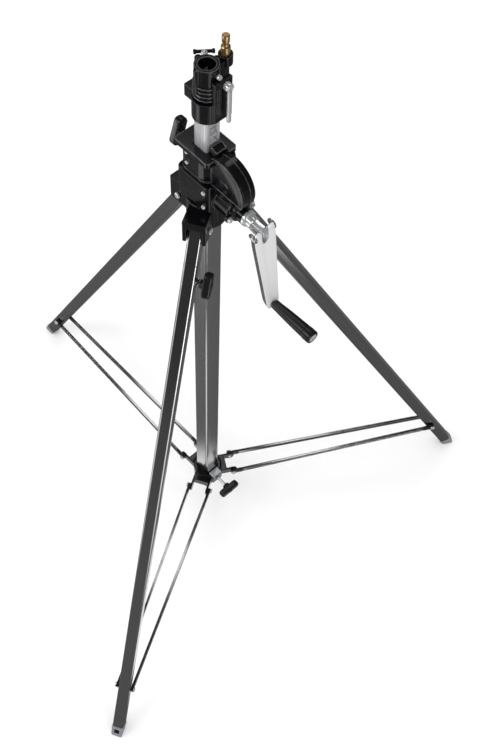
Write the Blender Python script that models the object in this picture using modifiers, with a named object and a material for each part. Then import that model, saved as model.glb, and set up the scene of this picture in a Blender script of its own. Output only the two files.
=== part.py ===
"""Wind-up lighting stand with a crank, a rack riser, a hand-raised riser and folding legs.

Units are metres and +Z is up. The stand is drawn from the floor up, and at the end it is lowered
until its origin is the centre of the column plug's lower face. The crank shaft points along +X,
one leg points along -X and the other two stand 60 degrees either side of +X. Every sub-part is
one closed solid, with about 0.3 mm of air to its neighbours.
"""

import math

import bmesh
import bpy
from mathutils import Matrix, Vector

# ---------------------------------------------------------------- driving dimensions

GAP = 0.0003                     # air between touching pieces

FOOT_RADIUS = 0.700              # leg axis to column axis, at the floor
APEX_HEIGHT = 1.303              # where the three leg axes would meet
LEG_PIVOT_RADIUS = 0.055
LEG_SIDE = 0.028
LEG_WALL = 0.002
LEG_TOP = 0.016                  # tube above its pivot
FOOT_SIDE = 0.0296
FOOT_LENGTH = 0.026
LEG_AZIMUTHS = {"left": 180.0, "front": -60.0, "right": 60.0}
LEG_PIVOT_Z = APEX_HEIGHT * (1 - LEG_PIVOT_RADIUS / FOOT_RADIUS)
LEG_ANGLE = math.atan2(FOOT_RADIUS, APEX_HEIGHT)
LEG_LENGTH = math.hypot(FOOT_RADIUS - LEG_PIVOT_RADIUS, LEG_PIVOT_Z)
SLEEVE_END = 0.0712              # joint between the front leg's sleeve and its sliding tube
LEVEL_KNOB_AT = 0.109            # down the front leg from its pivot

COLUMN_SIDE = 0.042
COLUMN_WALL = 0.0025
COLUMN_BOTTOM = 0.058
COLUMN_TOP = 1.224
PLUG_BOTTOM = 0.050

RISER_SIDE = 0.033
RISER_WALL = 0.0024
RISER_BOTTOM = 0.100
RISER_TOP = 1.450
CHANNEL_WIDTH = 0.017
CHANNEL_DEPTH = 0.0086

SECOND_CENTRE_X = -0.0042
SECOND_SIZE = (0.019, 0.027)
SECOND_WALL = 0.002
SECOND_BOTTOM = 0.200
SECOND_TOP = 1.499

GEAR_TEETH = 14
TOOTH_PITCH = 0.01885            # one tooth of the wheel, and one turn of the worm
PITCH_RADIUS = GEAR_TEETH * TOOTH_PITCH / (2 * math.pi)
ADDENDUM = 0.003
ROOT_CLEARANCE = 0.0006
RACK_BACK_X = 0.0082
RACK_ROOT_X = 0.0102
RACK_LOW = 0.335
RACK_TEETH = 57
WHEEL_X = RACK_ROOT_X + ADDENDUM + PITCH_RADIUS + GAP
WHEEL_Z = 1.322
WHEEL_WIDTH = 0.014
WORM_PITCH_RADIUS = 0.016
SHAFT_Z = WHEEL_Z - PITCH_RADIUS - WORM_PITCH_RADIUS - GAP
SHAFT_RADIUS = 0.0075

YOKE_LOW = 1.180
YOKE_TOP = 1.238
FORK_REACH = 0.078
CHEEK_OUT = 0.0225
SLOT_HALF = 0.0148

CASE_NEAR_Y = -0.016             # open side of the gear case
CASE_FAR_Y = 0.013
AXLE_END_Y = 0.0117
CASE_CENTRE = (0.058, 1.320)
CASE_RADIUS = 0.054
CASE_FLOOR_Z = 1.303
CASE_LEFT_X = 0.032
COVER_THICKNESS = 0.003
CAP_RADIUS = 0.020
CAP_TOP = SHAFT_Z + CAP_RADIUS
BODY_TOP = 1.366
BARREL_BOTTOM = 1.300
COLLAR_BOTTOM = 1.355

CRANK_TILT = 8.5                 # degrees that the arm hangs away from straight down
CRANK_PIN_X = 0.147
ARM_LENGTH = 0.250
ARM_TOP_WIDTH = 0.048
ARM_END_WIDTH = 0.030
ARM_SHEET = 0.003
ARM_DEPTH = 0.014

SPIDER_Z = 0.116
SPIDER_HALF_HEIGHT = 0.015
BRACE_PIN_RADIUS = 0.066
BRACE_PIN_SIDE = 0.0275
BRACE_END_SIDE = 0.0181
BRACE_FOOT_FRACTION = 0.105      # bolt's place on the leg, as a share of foot to apex
BRACE_SIZE = (0.006, 0.013)

CLAMP_BOTTOM = 1.436
CLAMP_TOP = 1.478
CLAMP_RADIUS = 0.026
HEAD_BOTTOM = 1.481
HEAD_TOP = 1.547
HEAD_RADIUS = 0.0216
SOCKET_RADIUS = 0.0145
SOCKET_DEPTH = 0.040
STUD_PLACE = (0.001, 0.039)
HEAD_SCREW_AZIMUTH = 143.0
HEAD_SCREW_Z = 1.522

PART_NAME = "wind_up_stand"

# ---------------------------------------------------------------- scene and materials

for stale in list(bpy.data.objects):
    bpy.data.objects.remove(stale, do_unlink=True)


def make_collection(name):
    collection = bpy.data.collections.new(name)
    bpy.context.scene.collection.children.link(collection)
    return collection


PARTS = make_collection(PART_NAME)
CUTTERS = make_collection(PART_NAME + "_cutters")


def make_material(name, colour, roughness, metallic):
    material = bpy.data.materials.new(name)
    material.use_nodes = True
    shader = material.node_tree.nodes["Principled BSDF"]
    shader.inputs["Base Color"].default_value = (*colour, 1.0)
    shader.inputs["Roughness"].default_value = roughness
    shader.inputs["Metallic"].default_value = metallic
    material.diffuse_color = (*colour, 1.0)
    return material


LOOKS = {
    "leg_chrome": ((0.075, 0.077, 0.080), 0.28, 0.9),
    "column_grey": ((0.110, 0.112, 0.116), 0.32, 0.9),
    "black_casting": ((0.012, 0.012, 0.014), 0.30, 0.0),
    "steel": ((0.52, 0.53, 0.54), 0.30, 1.0),
    "chrome": ((0.80, 0.81, 0.82), 0.12, 1.0),
    "brass": ((0.62, 0.43, 0.17), 0.28, 1.0),
    "black_plastic": ((0.014, 0.014, 0.015), 0.45, 0.0),
    "grey_plastic": ((0.23, 0.23, 0.24), 0.55, 0.0),
    "gear_steel": ((0.33, 0.32, 0.30), 0.40, 1.0),
    "bronze": ((0.42, 0.27, 0.12), 0.40, 1.0),
}
MATERIALS = {name: make_material(name, *look) for name, look in LOOKS.items()}

# ---------------------------------------------------------------- modelling tools


def add_object(name, mesh, look=None):
    """A mesh becomes a part when it is given a look, and a cutter or a joined shape when not."""
    shape = bpy.data.objects.new(name, mesh)
    if look is None:
        CUTTERS.objects.link(shape)
        shape.hide_render = True
        shape.display_type = "WIRE"
    else:
        PARTS.objects.link(shape)
        mesh.materials.append(MATERIALS[look])
    return shape


def mesh_from_bmesh(name, shape):
    bmesh.ops.recalc_face_normals(shape, faces=shape.faces)
    if shape.calc_volume(signed=True) < 0:
        bmesh.ops.reverse_faces(shape, faces=shape.faces)
    mesh = bpy.data.meshes.new(name)
    shape.to_mesh(mesh)
    shape.free()
    return mesh


def box(name, low, high, look=None, round_edges=0.0):
    shape = bmesh.new()
    bmesh.ops.create_cube(shape, size=1.0)
    size = [b - a for a, b in zip(low, high)]
    middle = [(a + b) / 2 for a, b in zip(low, high)]
    bmesh.ops.scale(shape, vec=size, verts=shape.verts)
    bmesh.ops.translate(shape, vec=middle, verts=shape.verts)
    made = add_object(name, mesh_from_bmesh(name, shape), look)
    if round_edges:
        bevel = made.modifiers.new("round_edges", "BEVEL")
        bevel.width = round_edges
        bevel.segments = 2
    return made


def rod(name, start, end, radius, look=None, sides=24):
    """A round bar between two points."""
    start, end = Vector(start), Vector(end)
    shape = bmesh.new()
    bmesh.ops.create_cone(shape, cap_ends=True, segments=sides, radius1=radius, radius2=radius,
                          depth=(end - start).length)
    turn = Vector((0, 0, 1)).rotation_difference(end - start).to_matrix().to_4x4()
    shape.transform(Matrix.Translation((start + end) / 2) @ turn)
    mesh = mesh_from_bmesh(name, shape)
    mesh.shade_smooth()
    mesh.set_sharp_from_angle(angle=math.radians(40))
    return add_object(name, mesh, look)


def plate(name, loops, thickness, place, look=None):
    """A flat piece with closed outlines in its own XY plane, centred on that plane."""
    curve = bpy.data.curves.new(name, "CURVE")
    curve.dimensions = "2D"
    curve.fill_mode = "BOTH"
    curve.extrude = thickness / 2
    for loop in loops:
        spline = curve.splines.new("POLY")
        spline.points.add(len(loop) - 1)
        for point, (across, along) in zip(spline.points, loop):
            point.co = (across, along, 0.0, 1.0)
        spline.use_cyclic_u = True
    guide = bpy.data.objects.new(name + "_outline", curve)
    CUTTERS.objects.link(guide)
    bpy.context.view_layer.update()
    evaluated = guide.evaluated_get(bpy.context.evaluated_depsgraph_get())
    mesh = bpy.data.meshes.new_from_object(evaluated)
    bpy.data.objects.remove(guide, do_unlink=True)
    shape = bmesh.new()
    shape.from_mesh(mesh)
    bmesh.ops.remove_doubles(shape, verts=shape.verts, dist=1e-6)
    shape.transform(place)
    bpy.data.meshes.remove(mesh)
    return add_object(name, mesh_from_bmesh(name, shape), look)


def extruded(name, loop, thickness, place, look=None):
    """One closed outline without holes, extruded evenly to both sides of its own XY plane."""
    shape = bmesh.new()
    low = [shape.verts.new((across, along, -thickness / 2)) for across, along in loop]
    face = shape.faces.new(low)
    raised = bmesh.ops.extrude_face_region(shape, geom=[face])["geom"]
    top = [item for item in raised if isinstance(item, bmesh.types.BMVert)]
    bmesh.ops.translate(shape, vec=(0, 0, thickness), verts=top)
    shape.transform(place)
    return add_object(name, mesh_from_bmesh(name, shape), look)


def turned(name, profile, place, look, steps=28):
    """A profile of (radius, height) points, from the top down, turned round its own Z axis."""
    mesh = bpy.data.meshes.new(name)
    points = [(radius, 0.0, height) for radius, height in profile]
    mesh.from_pydata(points, [(i, i + 1) for i in range(len(points) - 1)], [])
    made = add_object(name, mesh, look)
    screw = made.modifiers.new("turn", "SCREW")
    screw.steps = steps
    screw.render_steps = steps
    screw.use_merge_vertices = True
    screw.merge_threshold = 0.00001
    made.matrix_world = place
    return made


def combine(target, operation, others):
    for other in others:
        modifier = target.modifiers.new(other.name, "BOOLEAN")
        modifier.operation = operation
        modifier.object = other
    return target


def cut(target, *others):
    return combine(target, "DIFFERENCE", others)


def unite(target, *others):
    return combine(target, "UNION", others)


def shift_origin(made, point):
    """Puts a part's origin on its joint axis and leaves its shape where it is."""
    made.data.transform(Matrix.Translation(-Vector(point)))
    made.location = point


def carry(name, point, pieces):
    """An empty on a joint's axis, which carries the pieces that move together."""
    carrier = bpy.data.objects.new("axis_" + name, None)
    carrier.location = point
    carrier.empty_display_size = 0.03
    CUTTERS.objects.link(carrier)
    for piece in pieces:
        piece.parent = carrier
        piece.matrix_parent_inverse = Matrix.Translation(point).inverted()


def rounded_rectangle(width, height, radius, centre=(0.0, 0.0), steps=3):
    """Corner arcs of a rectangle, counter-clockwise."""
    corners = [(1, 1, 0), (-1, 1, 90), (-1, -1, 180), (1, -1, 270)]
    loop = []
    for side_x, side_y, first in corners:
        for step in range(steps + 1):
            angle = math.radians(first + 90 * step / steps)
            loop.append((centre[0] + side_x * (width / 2 - radius) + radius * math.cos(angle),
                         centre[1] + side_y * (height / 2 - radius) + radius * math.sin(angle)))
    return loop


def arc(centre, radius, first, last, steps):
    """Points on a circle between two angles in degrees."""
    angles = [math.radians(first + (last - first) * i / steps) for i in range(steps + 1)]
    return [(centre[0] + radius * math.cos(a), centre[1] + radius * math.sin(a)) for a in angles]


def tube(name, sizes, inner, span, place, look, centre=(0.0, 0.0), radii=(0.005, 0.003)):
    """A rectangular tube along its own Z axis, from span[0] to span[1]."""
    loops = [rounded_rectangle(*sizes, radii[0], centre), rounded_rectangle(*inner, radii[1], centre)]
    middle = Matrix.Translation((0, 0, (span[0] + span[1]) / 2))
    return plate(name, loops, span[1] - span[0], place @ middle, look)


def bar(name, sizes, span, place, look=None, centre=(0.0, 0.0), radius=0.003):
    """A solid rectangular bar along its own Z axis."""
    middle = Matrix.Translation((0, 0, (span[0] + span[1]) / 2))
    return plate(name, [rounded_rectangle(*sizes, radius, centre)], span[1] - span[0],
                 place @ middle, look)


UPRIGHT = Matrix.Identity(4)
ALONG_X = Matrix.Rotation(math.radians(90), 4, "Y")
ALONG_MINUS_X = Matrix.Rotation(math.radians(-90), 4, "Y")
# Plate drawn in (x, z), thickness along y.
FACING_Y = Matrix.Rotation(math.radians(90), 4, "X")


def azimuth_frame(azimuth):
    """Local X points outwards along the azimuth, local Y sideways and local Z up."""
    return Matrix.Rotation(math.radians(azimuth), 4, "Z")


# ---------------------------------------------------------------- column

column_tube = tube("column_tube", (COLUMN_SIDE, COLUMN_SIDE),
                   (COLUMN_SIDE - 2 * COLUMN_WALL, COLUMN_SIDE - 2 * COLUMN_WALL),
                   (COLUMN_BOTTOM, COLUMN_TOP), UPRIGHT, "column_grey", radii=(0.006, 0.0035))

plug_inner = COLUMN_SIDE - 2 * COLUMN_WALL - 2 * GAP
column_plug = bar("column_plug", (COLUMN_SIDE, COLUMN_SIDE), (PLUG_BOTTOM, COLUMN_BOTTOM - GAP),
                  UPRIGHT, "black_plastic", radius=0.006)
unite(column_plug, bar("plug_insert", (plug_inner, plug_inner), (PLUG_BOTTOM + 0.004, 0.075), UPRIGHT))

bush_outer = COLUMN_SIDE - 2 * COLUMN_WALL - 2 * GAP
bush_inner = RISER_SIDE + 2 * GAP
riser_bush = tube("riser_bush", (bush_outer, bush_outer), (bush_inner, bush_inner),
                  (COLUMN_TOP - 0.034, COLUMN_TOP - 0.001), UPRIGHT, "grey_plastic",
                  radii=(0.0032, 0.0035))

# ---------------------------------------------------------------- leg yoke


def fork(azimuth):
    """One arm of the yoke and the slot that its leg swings in."""
    frame = azimuth_frame(azimuth)
    tag = str(int(azimuth) % 360)
    arm = box("fork_" + tag, (0.020, -CHEEK_OUT, YOKE_LOW + 0.001),
              (FORK_REACH, CHEEK_OUT, YOKE_TOP - 0.002))
    slot = box("fork_slot_" + tag, (0.0325, -SLOT_HALF, YOKE_LOW - 0.01),
               (FORK_REACH - 0.005, SLOT_HALF, YOKE_TOP - 0.012))
    mouth_half = SLOT_HALF + GAP
    mouth = box("fork_mouth_" + tag, (0.06, -mouth_half, YOKE_LOW - 0.02),
                (FORK_REACH + 0.01, mouth_half, YOKE_TOP - 0.020))
    hole = rod("fork_hole_" + tag, (LEG_PIVOT_RADIUS, -0.04, LEG_PIVOT_Z),
               (LEG_PIVOT_RADIUS, 0.04, LEG_PIVOT_Z), 0.0043, sides=16)
    for piece in (arm, slot, mouth, hole):
        piece.data.transform(frame)
    return arm, (slot, mouth, hole)


leg_yoke = rod("leg_yoke", (0, 0, YOKE_LOW), (0, 0, YOKE_TOP), 0.039, "black_casting", sides=36)
forks = [fork(azimuth) for azimuth in LEG_AZIMUTHS.values()]
unite(leg_yoke, *[arm for arm, _ in forks])
for _, openings in forks:
    cut(leg_yoke, *openings)
seat = COLUMN_SIDE + 2 * GAP
cut(leg_yoke, bar("yoke_seat", (seat, seat), (YOKE_LOW - 0.01, COLUMN_TOP + GAP), UPRIGHT, radius=0.006))
passage = RISER_SIDE + 4 * GAP
cut(leg_yoke, bar("yoke_passage", (passage, passage), (COLUMN_TOP - 0.01, YOKE_TOP + 0.01), UPRIGHT))

# ---------------------------------------------------------------- legs and feet


def leg_frame(azimuth):
    """Local Z runs down the leg from its pivot, local X outwards and local Y sideways."""
    pivot = Matrix.Translation((LEG_PIVOT_RADIUS, 0, LEG_PIVOT_Z))
    return azimuth_frame(azimuth) @ pivot @ Matrix.Rotation(math.pi - LEG_ANGLE, 4, "Y")


def foot_block(name, azimuth):
    """A plug in the tube's end with a sole that is level with the floor."""
    frame = leg_frame(azimuth)
    tube_end = LEG_LENGTH - FOOT_LENGTH
    foot = bar(name, (FOOT_SIDE, FOOT_SIDE), (tube_end + GAP, LEG_LENGTH + 0.03), frame,
               "grey_plastic")
    inner = LEG_SIDE - 2 * LEG_WALL - 2 * GAP
    unite(foot, bar(name + "_insert", (inner, inner), (tube_end - 0.022, tube_end + 0.006), frame,
                    radius=0.002))
    centre = azimuth_frame(azimuth) @ Vector((FOOT_RADIUS, 0, 0))
    floor = box(name + "_floor", (centre.x - 0.1, centre.y - 0.1, -0.1),
                (centre.x + 0.1, centre.y + 0.1, 0.0))
    return cut(foot, floor)


def pivot_hole(name, azimuth, distance):
    frame = leg_frame(azimuth)
    return rod(name, frame @ Vector((0, -0.04, distance)), frame @ Vector((0, 0.04, distance)),
               0.0043, sides=16)


outer_size = (LEG_SIDE, LEG_SIDE)
inner_size = (LEG_SIDE - 2 * LEG_WALL, LEG_SIDE - 2 * LEG_WALL)

leg_pieces = {}
for side in ("left", "right"):
    azimuth = LEG_AZIMUTHS[side]
    leg = tube("leg_" + side, outer_size, inner_size, (-LEG_TOP, LEG_LENGTH - FOOT_LENGTH),
               leg_frame(azimuth), "leg_chrome", radii=(0.004, 0.002))
    cut(leg, pivot_hole("leg_hole_" + side, azimuth, 0.0))
    leg_pieces[side] = [leg, foot_block("foot_" + side, azimuth)]

front = LEG_AZIMUTHS["front"]
front_sleeve = tube("leg_front_sleeve", outer_size, inner_size, (-LEG_TOP, SLEEVE_END - GAP),
                    leg_frame(front), "leg_chrome", radii=(0.004, 0.002))
cut(front_sleeve, pivot_hole("sleeve_hole", front, 0.0))
spigot_side = LEG_SIDE - 2 * LEG_WALL - 2 * GAP
front_spigot = bar("leg_front_spigot", (spigot_side, spigot_side), (0.020, 0.330), leg_frame(front),
                   "steel", radius=0.002)
leg_front = tube("leg_front", outer_size, inner_size, (SLEEVE_END, LEG_LENGTH - FOOT_LENGTH),
                 leg_frame(front), "leg_chrome", radii=(0.004, 0.002))
leg_pieces["front"] = [leg_front, foot_block("foot_front", front)]


def headed_pin(name, frame, side_reach, radius, head_radius, head_height, look):
    """A pin along local Y with a head at each end."""
    pin = rod(name, frame @ Vector((0, -side_reach, 0)), frame @ Vector((0, side_reach, 0)), radius,
              look, sides=16)
    for sign in (-1, 1):
        head = rod("%s_head_%d" % (name, sign), frame @ Vector((0, sign * (side_reach - 0.001), 0)),
                   frame @ Vector((0, sign * (side_reach + head_height), 0)), head_radius, sides=12)
        unite(pin, head)
    return pin


for side, azimuth in LEG_AZIMUTHS.items():
    place = azimuth_frame(azimuth) @ Matrix.Translation((LEG_PIVOT_RADIUS, 0, LEG_PIVOT_Z))
    headed_pin("leg_bolt_" + side, place, CHEEK_OUT + 0.0015, 0.004, 0.0065, 0.0035, "steel")

# ---------------------------------------------------------------- knobs


def wing_knob(name, place, stem, look="black_plastic", length=0.058, height=0.022, depth=0.017):
    """A winged hand knob on a stem; local Z runs outwards and the wings lie along local Y."""
    wings = plate(name, [rounded_rectangle(height, length, 0.009, steps=4)], depth,
                  place @ Matrix.Translation((0, 0, stem + depth / 2)), look)
    hub = rod(name + "_hub", place @ Vector((0, 0, stem - 0.006)), place @ Vector((0, 0, stem + 0.004)),
              0.009, sides=20)
    shank = rod(name + "_shank", place @ Vector((0, 0, 0)), place @ Vector((0, 0, stem)), 0.004, sides=12)
    return unite(wings, hub, shank)


# ---------------------------------------------------------------- spider and braces

spider_low = SPIDER_Z - SPIDER_HALF_HEIGHT
spider_high = SPIDER_Z + SPIDER_HALF_HEIGHT
spider = rod("spider", (0, 0, spider_low), (0, 0, spider_high), 0.036, "black_casting", sides=32)
LUG_OUT = BRACE_PIN_SIDE - BRACE_SIZE[0] / 2 - 2 * GAP
LUG_IN = LUG_OUT - 0.005
spider_arms = []
spider_gaps = []
for side, azimuth in LEG_AZIMUTHS.items():
    arm = box("spider_arm_" + side, (0.024, -LUG_OUT, SPIDER_Z - 0.011),
              (BRACE_PIN_RADIUS + 0.008, LUG_OUT, SPIDER_Z + 0.011))
    space = box("spider_space_" + side, (0.050, -LUG_IN, SPIDER_Z - 0.03),
                (BRACE_PIN_RADIUS + 0.02, LUG_IN, SPIDER_Z + 0.03))
    hole = rod("spider_hole_" + side, (BRACE_PIN_RADIUS, -0.04, SPIDER_Z),
               (BRACE_PIN_RADIUS, 0.04, SPIDER_Z), 0.0038, sides=16)
    ears = rod("spider_ears_" + side, (BRACE_PIN_RADIUS - 0.001, -LUG_OUT + GAP, SPIDER_Z),
               (BRACE_PIN_RADIUS - 0.001, LUG_OUT - GAP, SPIDER_Z), 0.0128)
    for piece in (arm, ears, space, hole):
        piece.data.transform(azimuth_frame(azimuth))
    spider_arms += [arm, ears]
    spider_gaps += [space, hole]
knob_boss = box("spider_boss", (0.020, -0.0155, spider_low), (0.042, 0.0155, spider_high))
unite(spider, knob_boss, *spider_arms)
spider_bore = COLUMN_SIDE + 4 * GAP
cut(spider, bar("spider_bore", (spider_bore, spider_bore), (0.05, 0.20), UPRIGHT, radius=0.006),
    rod("spider_thread", (0.015, 0, SPIDER_Z), (0.05, 0, SPIDER_Z), 0.0045, sides=16), *spider_gaps)

spider_knob = wing_knob("spider_knob", Matrix.Translation((0.0225, 0, SPIDER_Z)) @ ALONG_X, 0.056)

bolt_share = 1 - BRACE_FOOT_FRACTION
BRACE_END = Vector((FOOT_RADIUS * bolt_share, APEX_HEIGHT * BRACE_FOOT_FRACTION))
brace_rise = BRACE_END.y - SPIDER_Z
brace_run = BRACE_END.x - BRACE_PIN_RADIUS
BRACE_LENGTH = math.hypot(brace_run, brace_rise)
brace_pitch = math.atan2(brace_rise, brace_run)
brace_splay = math.atan2(BRACE_PIN_SIDE - BRACE_END_SIDE, BRACE_LENGTH)


def brace(name, azimuth, sign):
    """A flat strip from a spider pin to the side of a leg; sign picks the side."""
    place = (azimuth_frame(azimuth)
             @ Matrix.Translation((BRACE_PIN_RADIUS, sign * BRACE_PIN_SIDE, SPIDER_Z))
             @ Matrix.Rotation(-brace_pitch, 4, "Y") @ Matrix.Rotation(-sign * brace_splay, 4, "Z"))
    half_height = BRACE_SIZE[1] / 2
    ends = arc((0, 0), half_height, 90, 270, 6) + arc((BRACE_LENGTH, 0), half_height, -90, 90, 6)
    pin_hole = arc((0, 0), 0.0038, 0, 345, 15)
    bolt_hole = arc((BRACE_LENGTH, 0), 0.0034, 0, 345, 15)
    return plate(name, [ends, pin_hole, bolt_hole], BRACE_SIZE[0], place @ FACING_Y, "leg_chrome")


def brace_bolt(name, azimuth, sign):
    """The headed bolt in a strip's outer end; it stops just short of the leg's side."""
    frame = azimuth_frame(azimuth)
    outwards = BRACE_END_SIDE + BRACE_SIZE[0] / 2

    def at(distance):
        return frame @ Vector((BRACE_END.x, sign * distance, BRACE_END.y))

    bolt = rod(name, at(FOOT_SIDE / 2 + GAP), at(outwards + 0.002), 0.003, "steel", sides=12)
    head = rod(name + "_head", at(outwards + 2 * GAP), at(outwards + 0.0042), 0.0062, sides=12)
    return unite(bolt, head)


brace_sets = {}
for side, azimuth in LEG_AZIMUTHS.items():
    pieces = []
    for label, sign in (("a", 1), ("b", -1)):
        pieces.append(brace("brace_%s_%s" % (side, label), azimuth, sign))
        pieces.append(brace_bolt("brace_bolt_%s_%s" % (side, label), azimuth, sign))
    brace_sets[side] = pieces
    place = azimuth_frame(azimuth) @ Matrix.Translation((BRACE_PIN_RADIUS, 0, SPIDER_Z))
    headed_pin("spider_pin_" + side, place, BRACE_PIN_SIDE + BRACE_SIZE[0] / 2 + 0.0014, 0.0035,
               0.006, 0.003, "steel")

# ---------------------------------------------------------------- levelling knob

level_place = (leg_frame(front) @ Matrix.Translation((0, LEG_SIDE / 2 + GAP, LEVEL_KNOB_AT))
               @ Matrix.Rotation(math.radians(-90), 4, "X"))
unite(leg_front, rod("level_boss", level_place @ Vector((0, 0, -0.001)),
                     level_place @ Vector((0, 0, 0.006)), 0.009, sides=20))
cut(leg_front, rod("level_boss_bore", level_place @ Vector((0, 0, -0.003)),
                   level_place @ Vector((0, 0, 0.02)), 0.0043, sides=16))
level_knob = wing_knob("level_knob", level_place @ Matrix.Translation((0, 0, GAP)), 0.013, length=0.054)

# ---------------------------------------------------------------- risers and rack


def riser_outline():
    """A rounded square with a channel in its +X side for the rack."""
    half = RISER_SIDE / 2
    lip = CHANNEL_WIDTH / 2
    outer = rounded_rectangle(RISER_SIDE, RISER_SIDE, 0.004)
    channel = [(half, -lip), (half - CHANNEL_DEPTH, -lip), (half - CHANNEL_DEPTH, lip), (half, lip)]
    return outer + channel


cavity_right = RISER_SIDE / 2 - CHANNEL_DEPTH - RISER_WALL
cavity_left = -RISER_SIDE / 2 + RISER_WALL
cavity = rounded_rectangle(cavity_right - cavity_left, RISER_SIDE - 2 * RISER_WALL, 0.002,
                           ((cavity_left + cavity_right) / 2, 0.0))
plate("riser_1", [riser_outline(), cavity], RISER_TOP - RISER_BOTTOM,
      Matrix.Translation((0, 0, (RISER_TOP + RISER_BOTTOM) / 2)), "steel")

tube("riser_2", SECOND_SIZE, (SECOND_SIZE[0] - 2 * SECOND_WALL, SECOND_SIZE[1] - 2 * SECOND_WALL),
     (SECOND_BOTTOM, SECOND_TOP), UPRIGHT, "steel", centre=(SECOND_CENTRE_X, 0), radii=(0.0025, 0.0015))


def rack_outline():
    """Tooth flanks along the riser, with a tooth centred at the wheel's height."""
    root_half = 0.0053
    tip_half = 0.0027
    below = round((WHEEL_Z - RACK_LOW) / TOOTH_PITCH - 0.5)
    first = WHEEL_Z - below * TOOTH_PITCH
    low = first - TOOTH_PITCH / 2
    tip_x = RACK_ROOT_X + 2 * ADDENDUM
    loop = [(RACK_BACK_X, low), (RACK_ROOT_X, low)]
    for tooth in range(RACK_TEETH):
        middle = first + tooth * TOOTH_PITCH
        loop += [(RACK_ROOT_X, middle - root_half), (tip_x, middle - tip_half),
                 (tip_x, middle + tip_half), (RACK_ROOT_X, middle + root_half)]
    high = low + RACK_TEETH * TOOTH_PITCH
    return loop + [(RACK_ROOT_X, high), (RACK_BACK_X, high)]


extruded("rack", rack_outline(), CHANNEL_WIDTH - 2 * GAP, FACING_Y, "steel")

# ---------------------------------------------------------------- winch body


def case_outline(radius, floor_z, left_x):
    """The D of the gear case in (x, z): a level floor, an upright left side and a round back."""
    centre_x, centre_z = CASE_CENTRE
    first = math.degrees(math.asin((floor_z - centre_z) / radius))
    last = math.degrees(math.acos((left_x - centre_x) / radius))
    return [(left_x, floor_z)] + arc(CASE_CENTRE, radius, first, last, 18)


body_low = YOKE_TOP + GAP
winch_body = bar("winch_body", (0.078, 0.060), (BARREL_BOTTOM, BODY_TOP), UPRIGHT, "black_casting",
                 centre=(-0.005, 0), radius=0.022)
lower_block = bar("winch_lower", (0.084, 0.070), (body_low, BARREL_BOTTOM + 0.004), UPRIGHT,
                  centre=(-0.001, 0), radius=0.009)
case_thickness = CASE_FAR_Y - CASE_NEAR_Y
case_place = Matrix.Translation((0, (CASE_FAR_Y + CASE_NEAR_Y) / 2, 0)) @ FACING_Y
case_block = plate("winch_case", [case_outline(CASE_RADIUS, CAP_TOP + 0.001, 0.010)], case_thickness,
                   case_place)
worm_housing = rod("winch_worm_housing", (0.0, 0, SHAFT_Z), (0.082, 0, SHAFT_Z), 0.0242, sides=36)
collar = bar("winch_collar", (0.088, 0.070), (COLLAR_BOTTOM, BODY_TOP + 0.001), UPRIGHT,
             centre=(-0.004, 0), radius=0.007)
lock_boss = rod("winch_lock_boss", (-0.030, 0, 1.338), (-0.052, 0, 1.338), 0.012, sides=24)
unite(winch_body, lower_block, case_block, collar, worm_housing, lock_boss)
wheel_space = rod("winch_wheel_space", (WHEEL_X, CASE_NEAR_Y - 0.0005, WHEEL_Z),
                  (WHEEL_X, 0.009, WHEEL_Z), PITCH_RADIUS + ADDENDUM + 0.001, sides=40)
cover_slot = box("winch_cover_slot", (CASE_LEFT_X - GAP, CASE_NEAR_Y - COVER_THICKNESS - 2 * GAP, 1.3025),
                 (0.070, CASE_NEAR_Y + 0.0001, 1.390))
worm_space = rod("winch_worm_space", (0.0325, 0, SHAFT_Z), (0.100, 0, SHAFT_Z), 0.0202, sides=36)
bush_seat = rod("winch_bush_seat", (0.0235, 0, SHAFT_Z), (0.040, 0, SHAFT_Z), 0.0123, sides=24)
axle_seat = rod("winch_axle_seat", (WHEEL_X, 0.0, WHEEL_Z), (WHEEL_X, AXLE_END_Y + GAP, WHEEL_Z), 0.0063,
                sides=20)
lock_bore = rod("winch_lock_bore", (-0.060, 0, 1.338), (-0.010, 0, 1.338), 0.0045, sides=16)
riser_bore = bar("winch_riser_bore", (passage, passage), (1.20, 1.40), UPRIGHT)
cut(winch_body, wheel_space, cover_slot, worm_space, bush_seat, axle_seat, lock_bore, riser_bore)
apron = box("winch_apron", (0.0300, CASE_NEAR_Y - 0.0002, 1.2795), (0.0812, -0.0118, 1.3020))
unite(winch_body, apron)

plate("gear_cover", [case_outline(CASE_RADIUS, CASE_FLOOR_Z, CASE_LEFT_X)], COVER_THICKNESS,
      Matrix.Translation((0, CASE_NEAR_Y - GAP - COVER_THICKNESS / 2, 0)) @ FACING_Y, "black_casting")

BODY_SIDE_Y = -0.035
BODY_BOLT_X = 0.0315
for index, z in enumerate((1.291, 1.254), start=1):
    rod("case_bolt_%d" % index, (BODY_BOLT_X, BODY_SIDE_Y - GAP, z),
        (BODY_BOLT_X, BODY_SIDE_Y - 0.0045, z), 0.0042, "steel", sides=6)

lock_knob = wing_knob("lock_knob", Matrix.Translation((-0.0175, 0, 1.338)) @ ALONG_MINUS_X
                      @ Matrix.Rotation(math.radians(108), 4, "Z"), 0.050)

# ---------------------------------------------------------------- gear train


def wheel_outline():
    """Fourteen straight-sided teeth, with a gap facing the rack's middle tooth."""
    root = PITCH_RADIUS - ADDENDUM - ROOT_CLEARANCE + GAP
    tip = PITCH_RADIUS + ADDENDUM - ROOT_CLEARANCE
    root_half = math.degrees(0.0056 / root)
    tip_half = math.degrees(0.0022 / tip)
    step = 360 / GEAR_TEETH
    loop = []
    for tooth in range(GEAR_TEETH):
        middle = 180 + step * (tooth + 0.5)
        for radius, turn in ((root, -root_half), (tip, -tip_half), (tip, tip_half), (root, root_half)):
            loop += arc((0, 0), radius, middle + turn, middle + turn, 1)[:1]
    return loop


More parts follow.
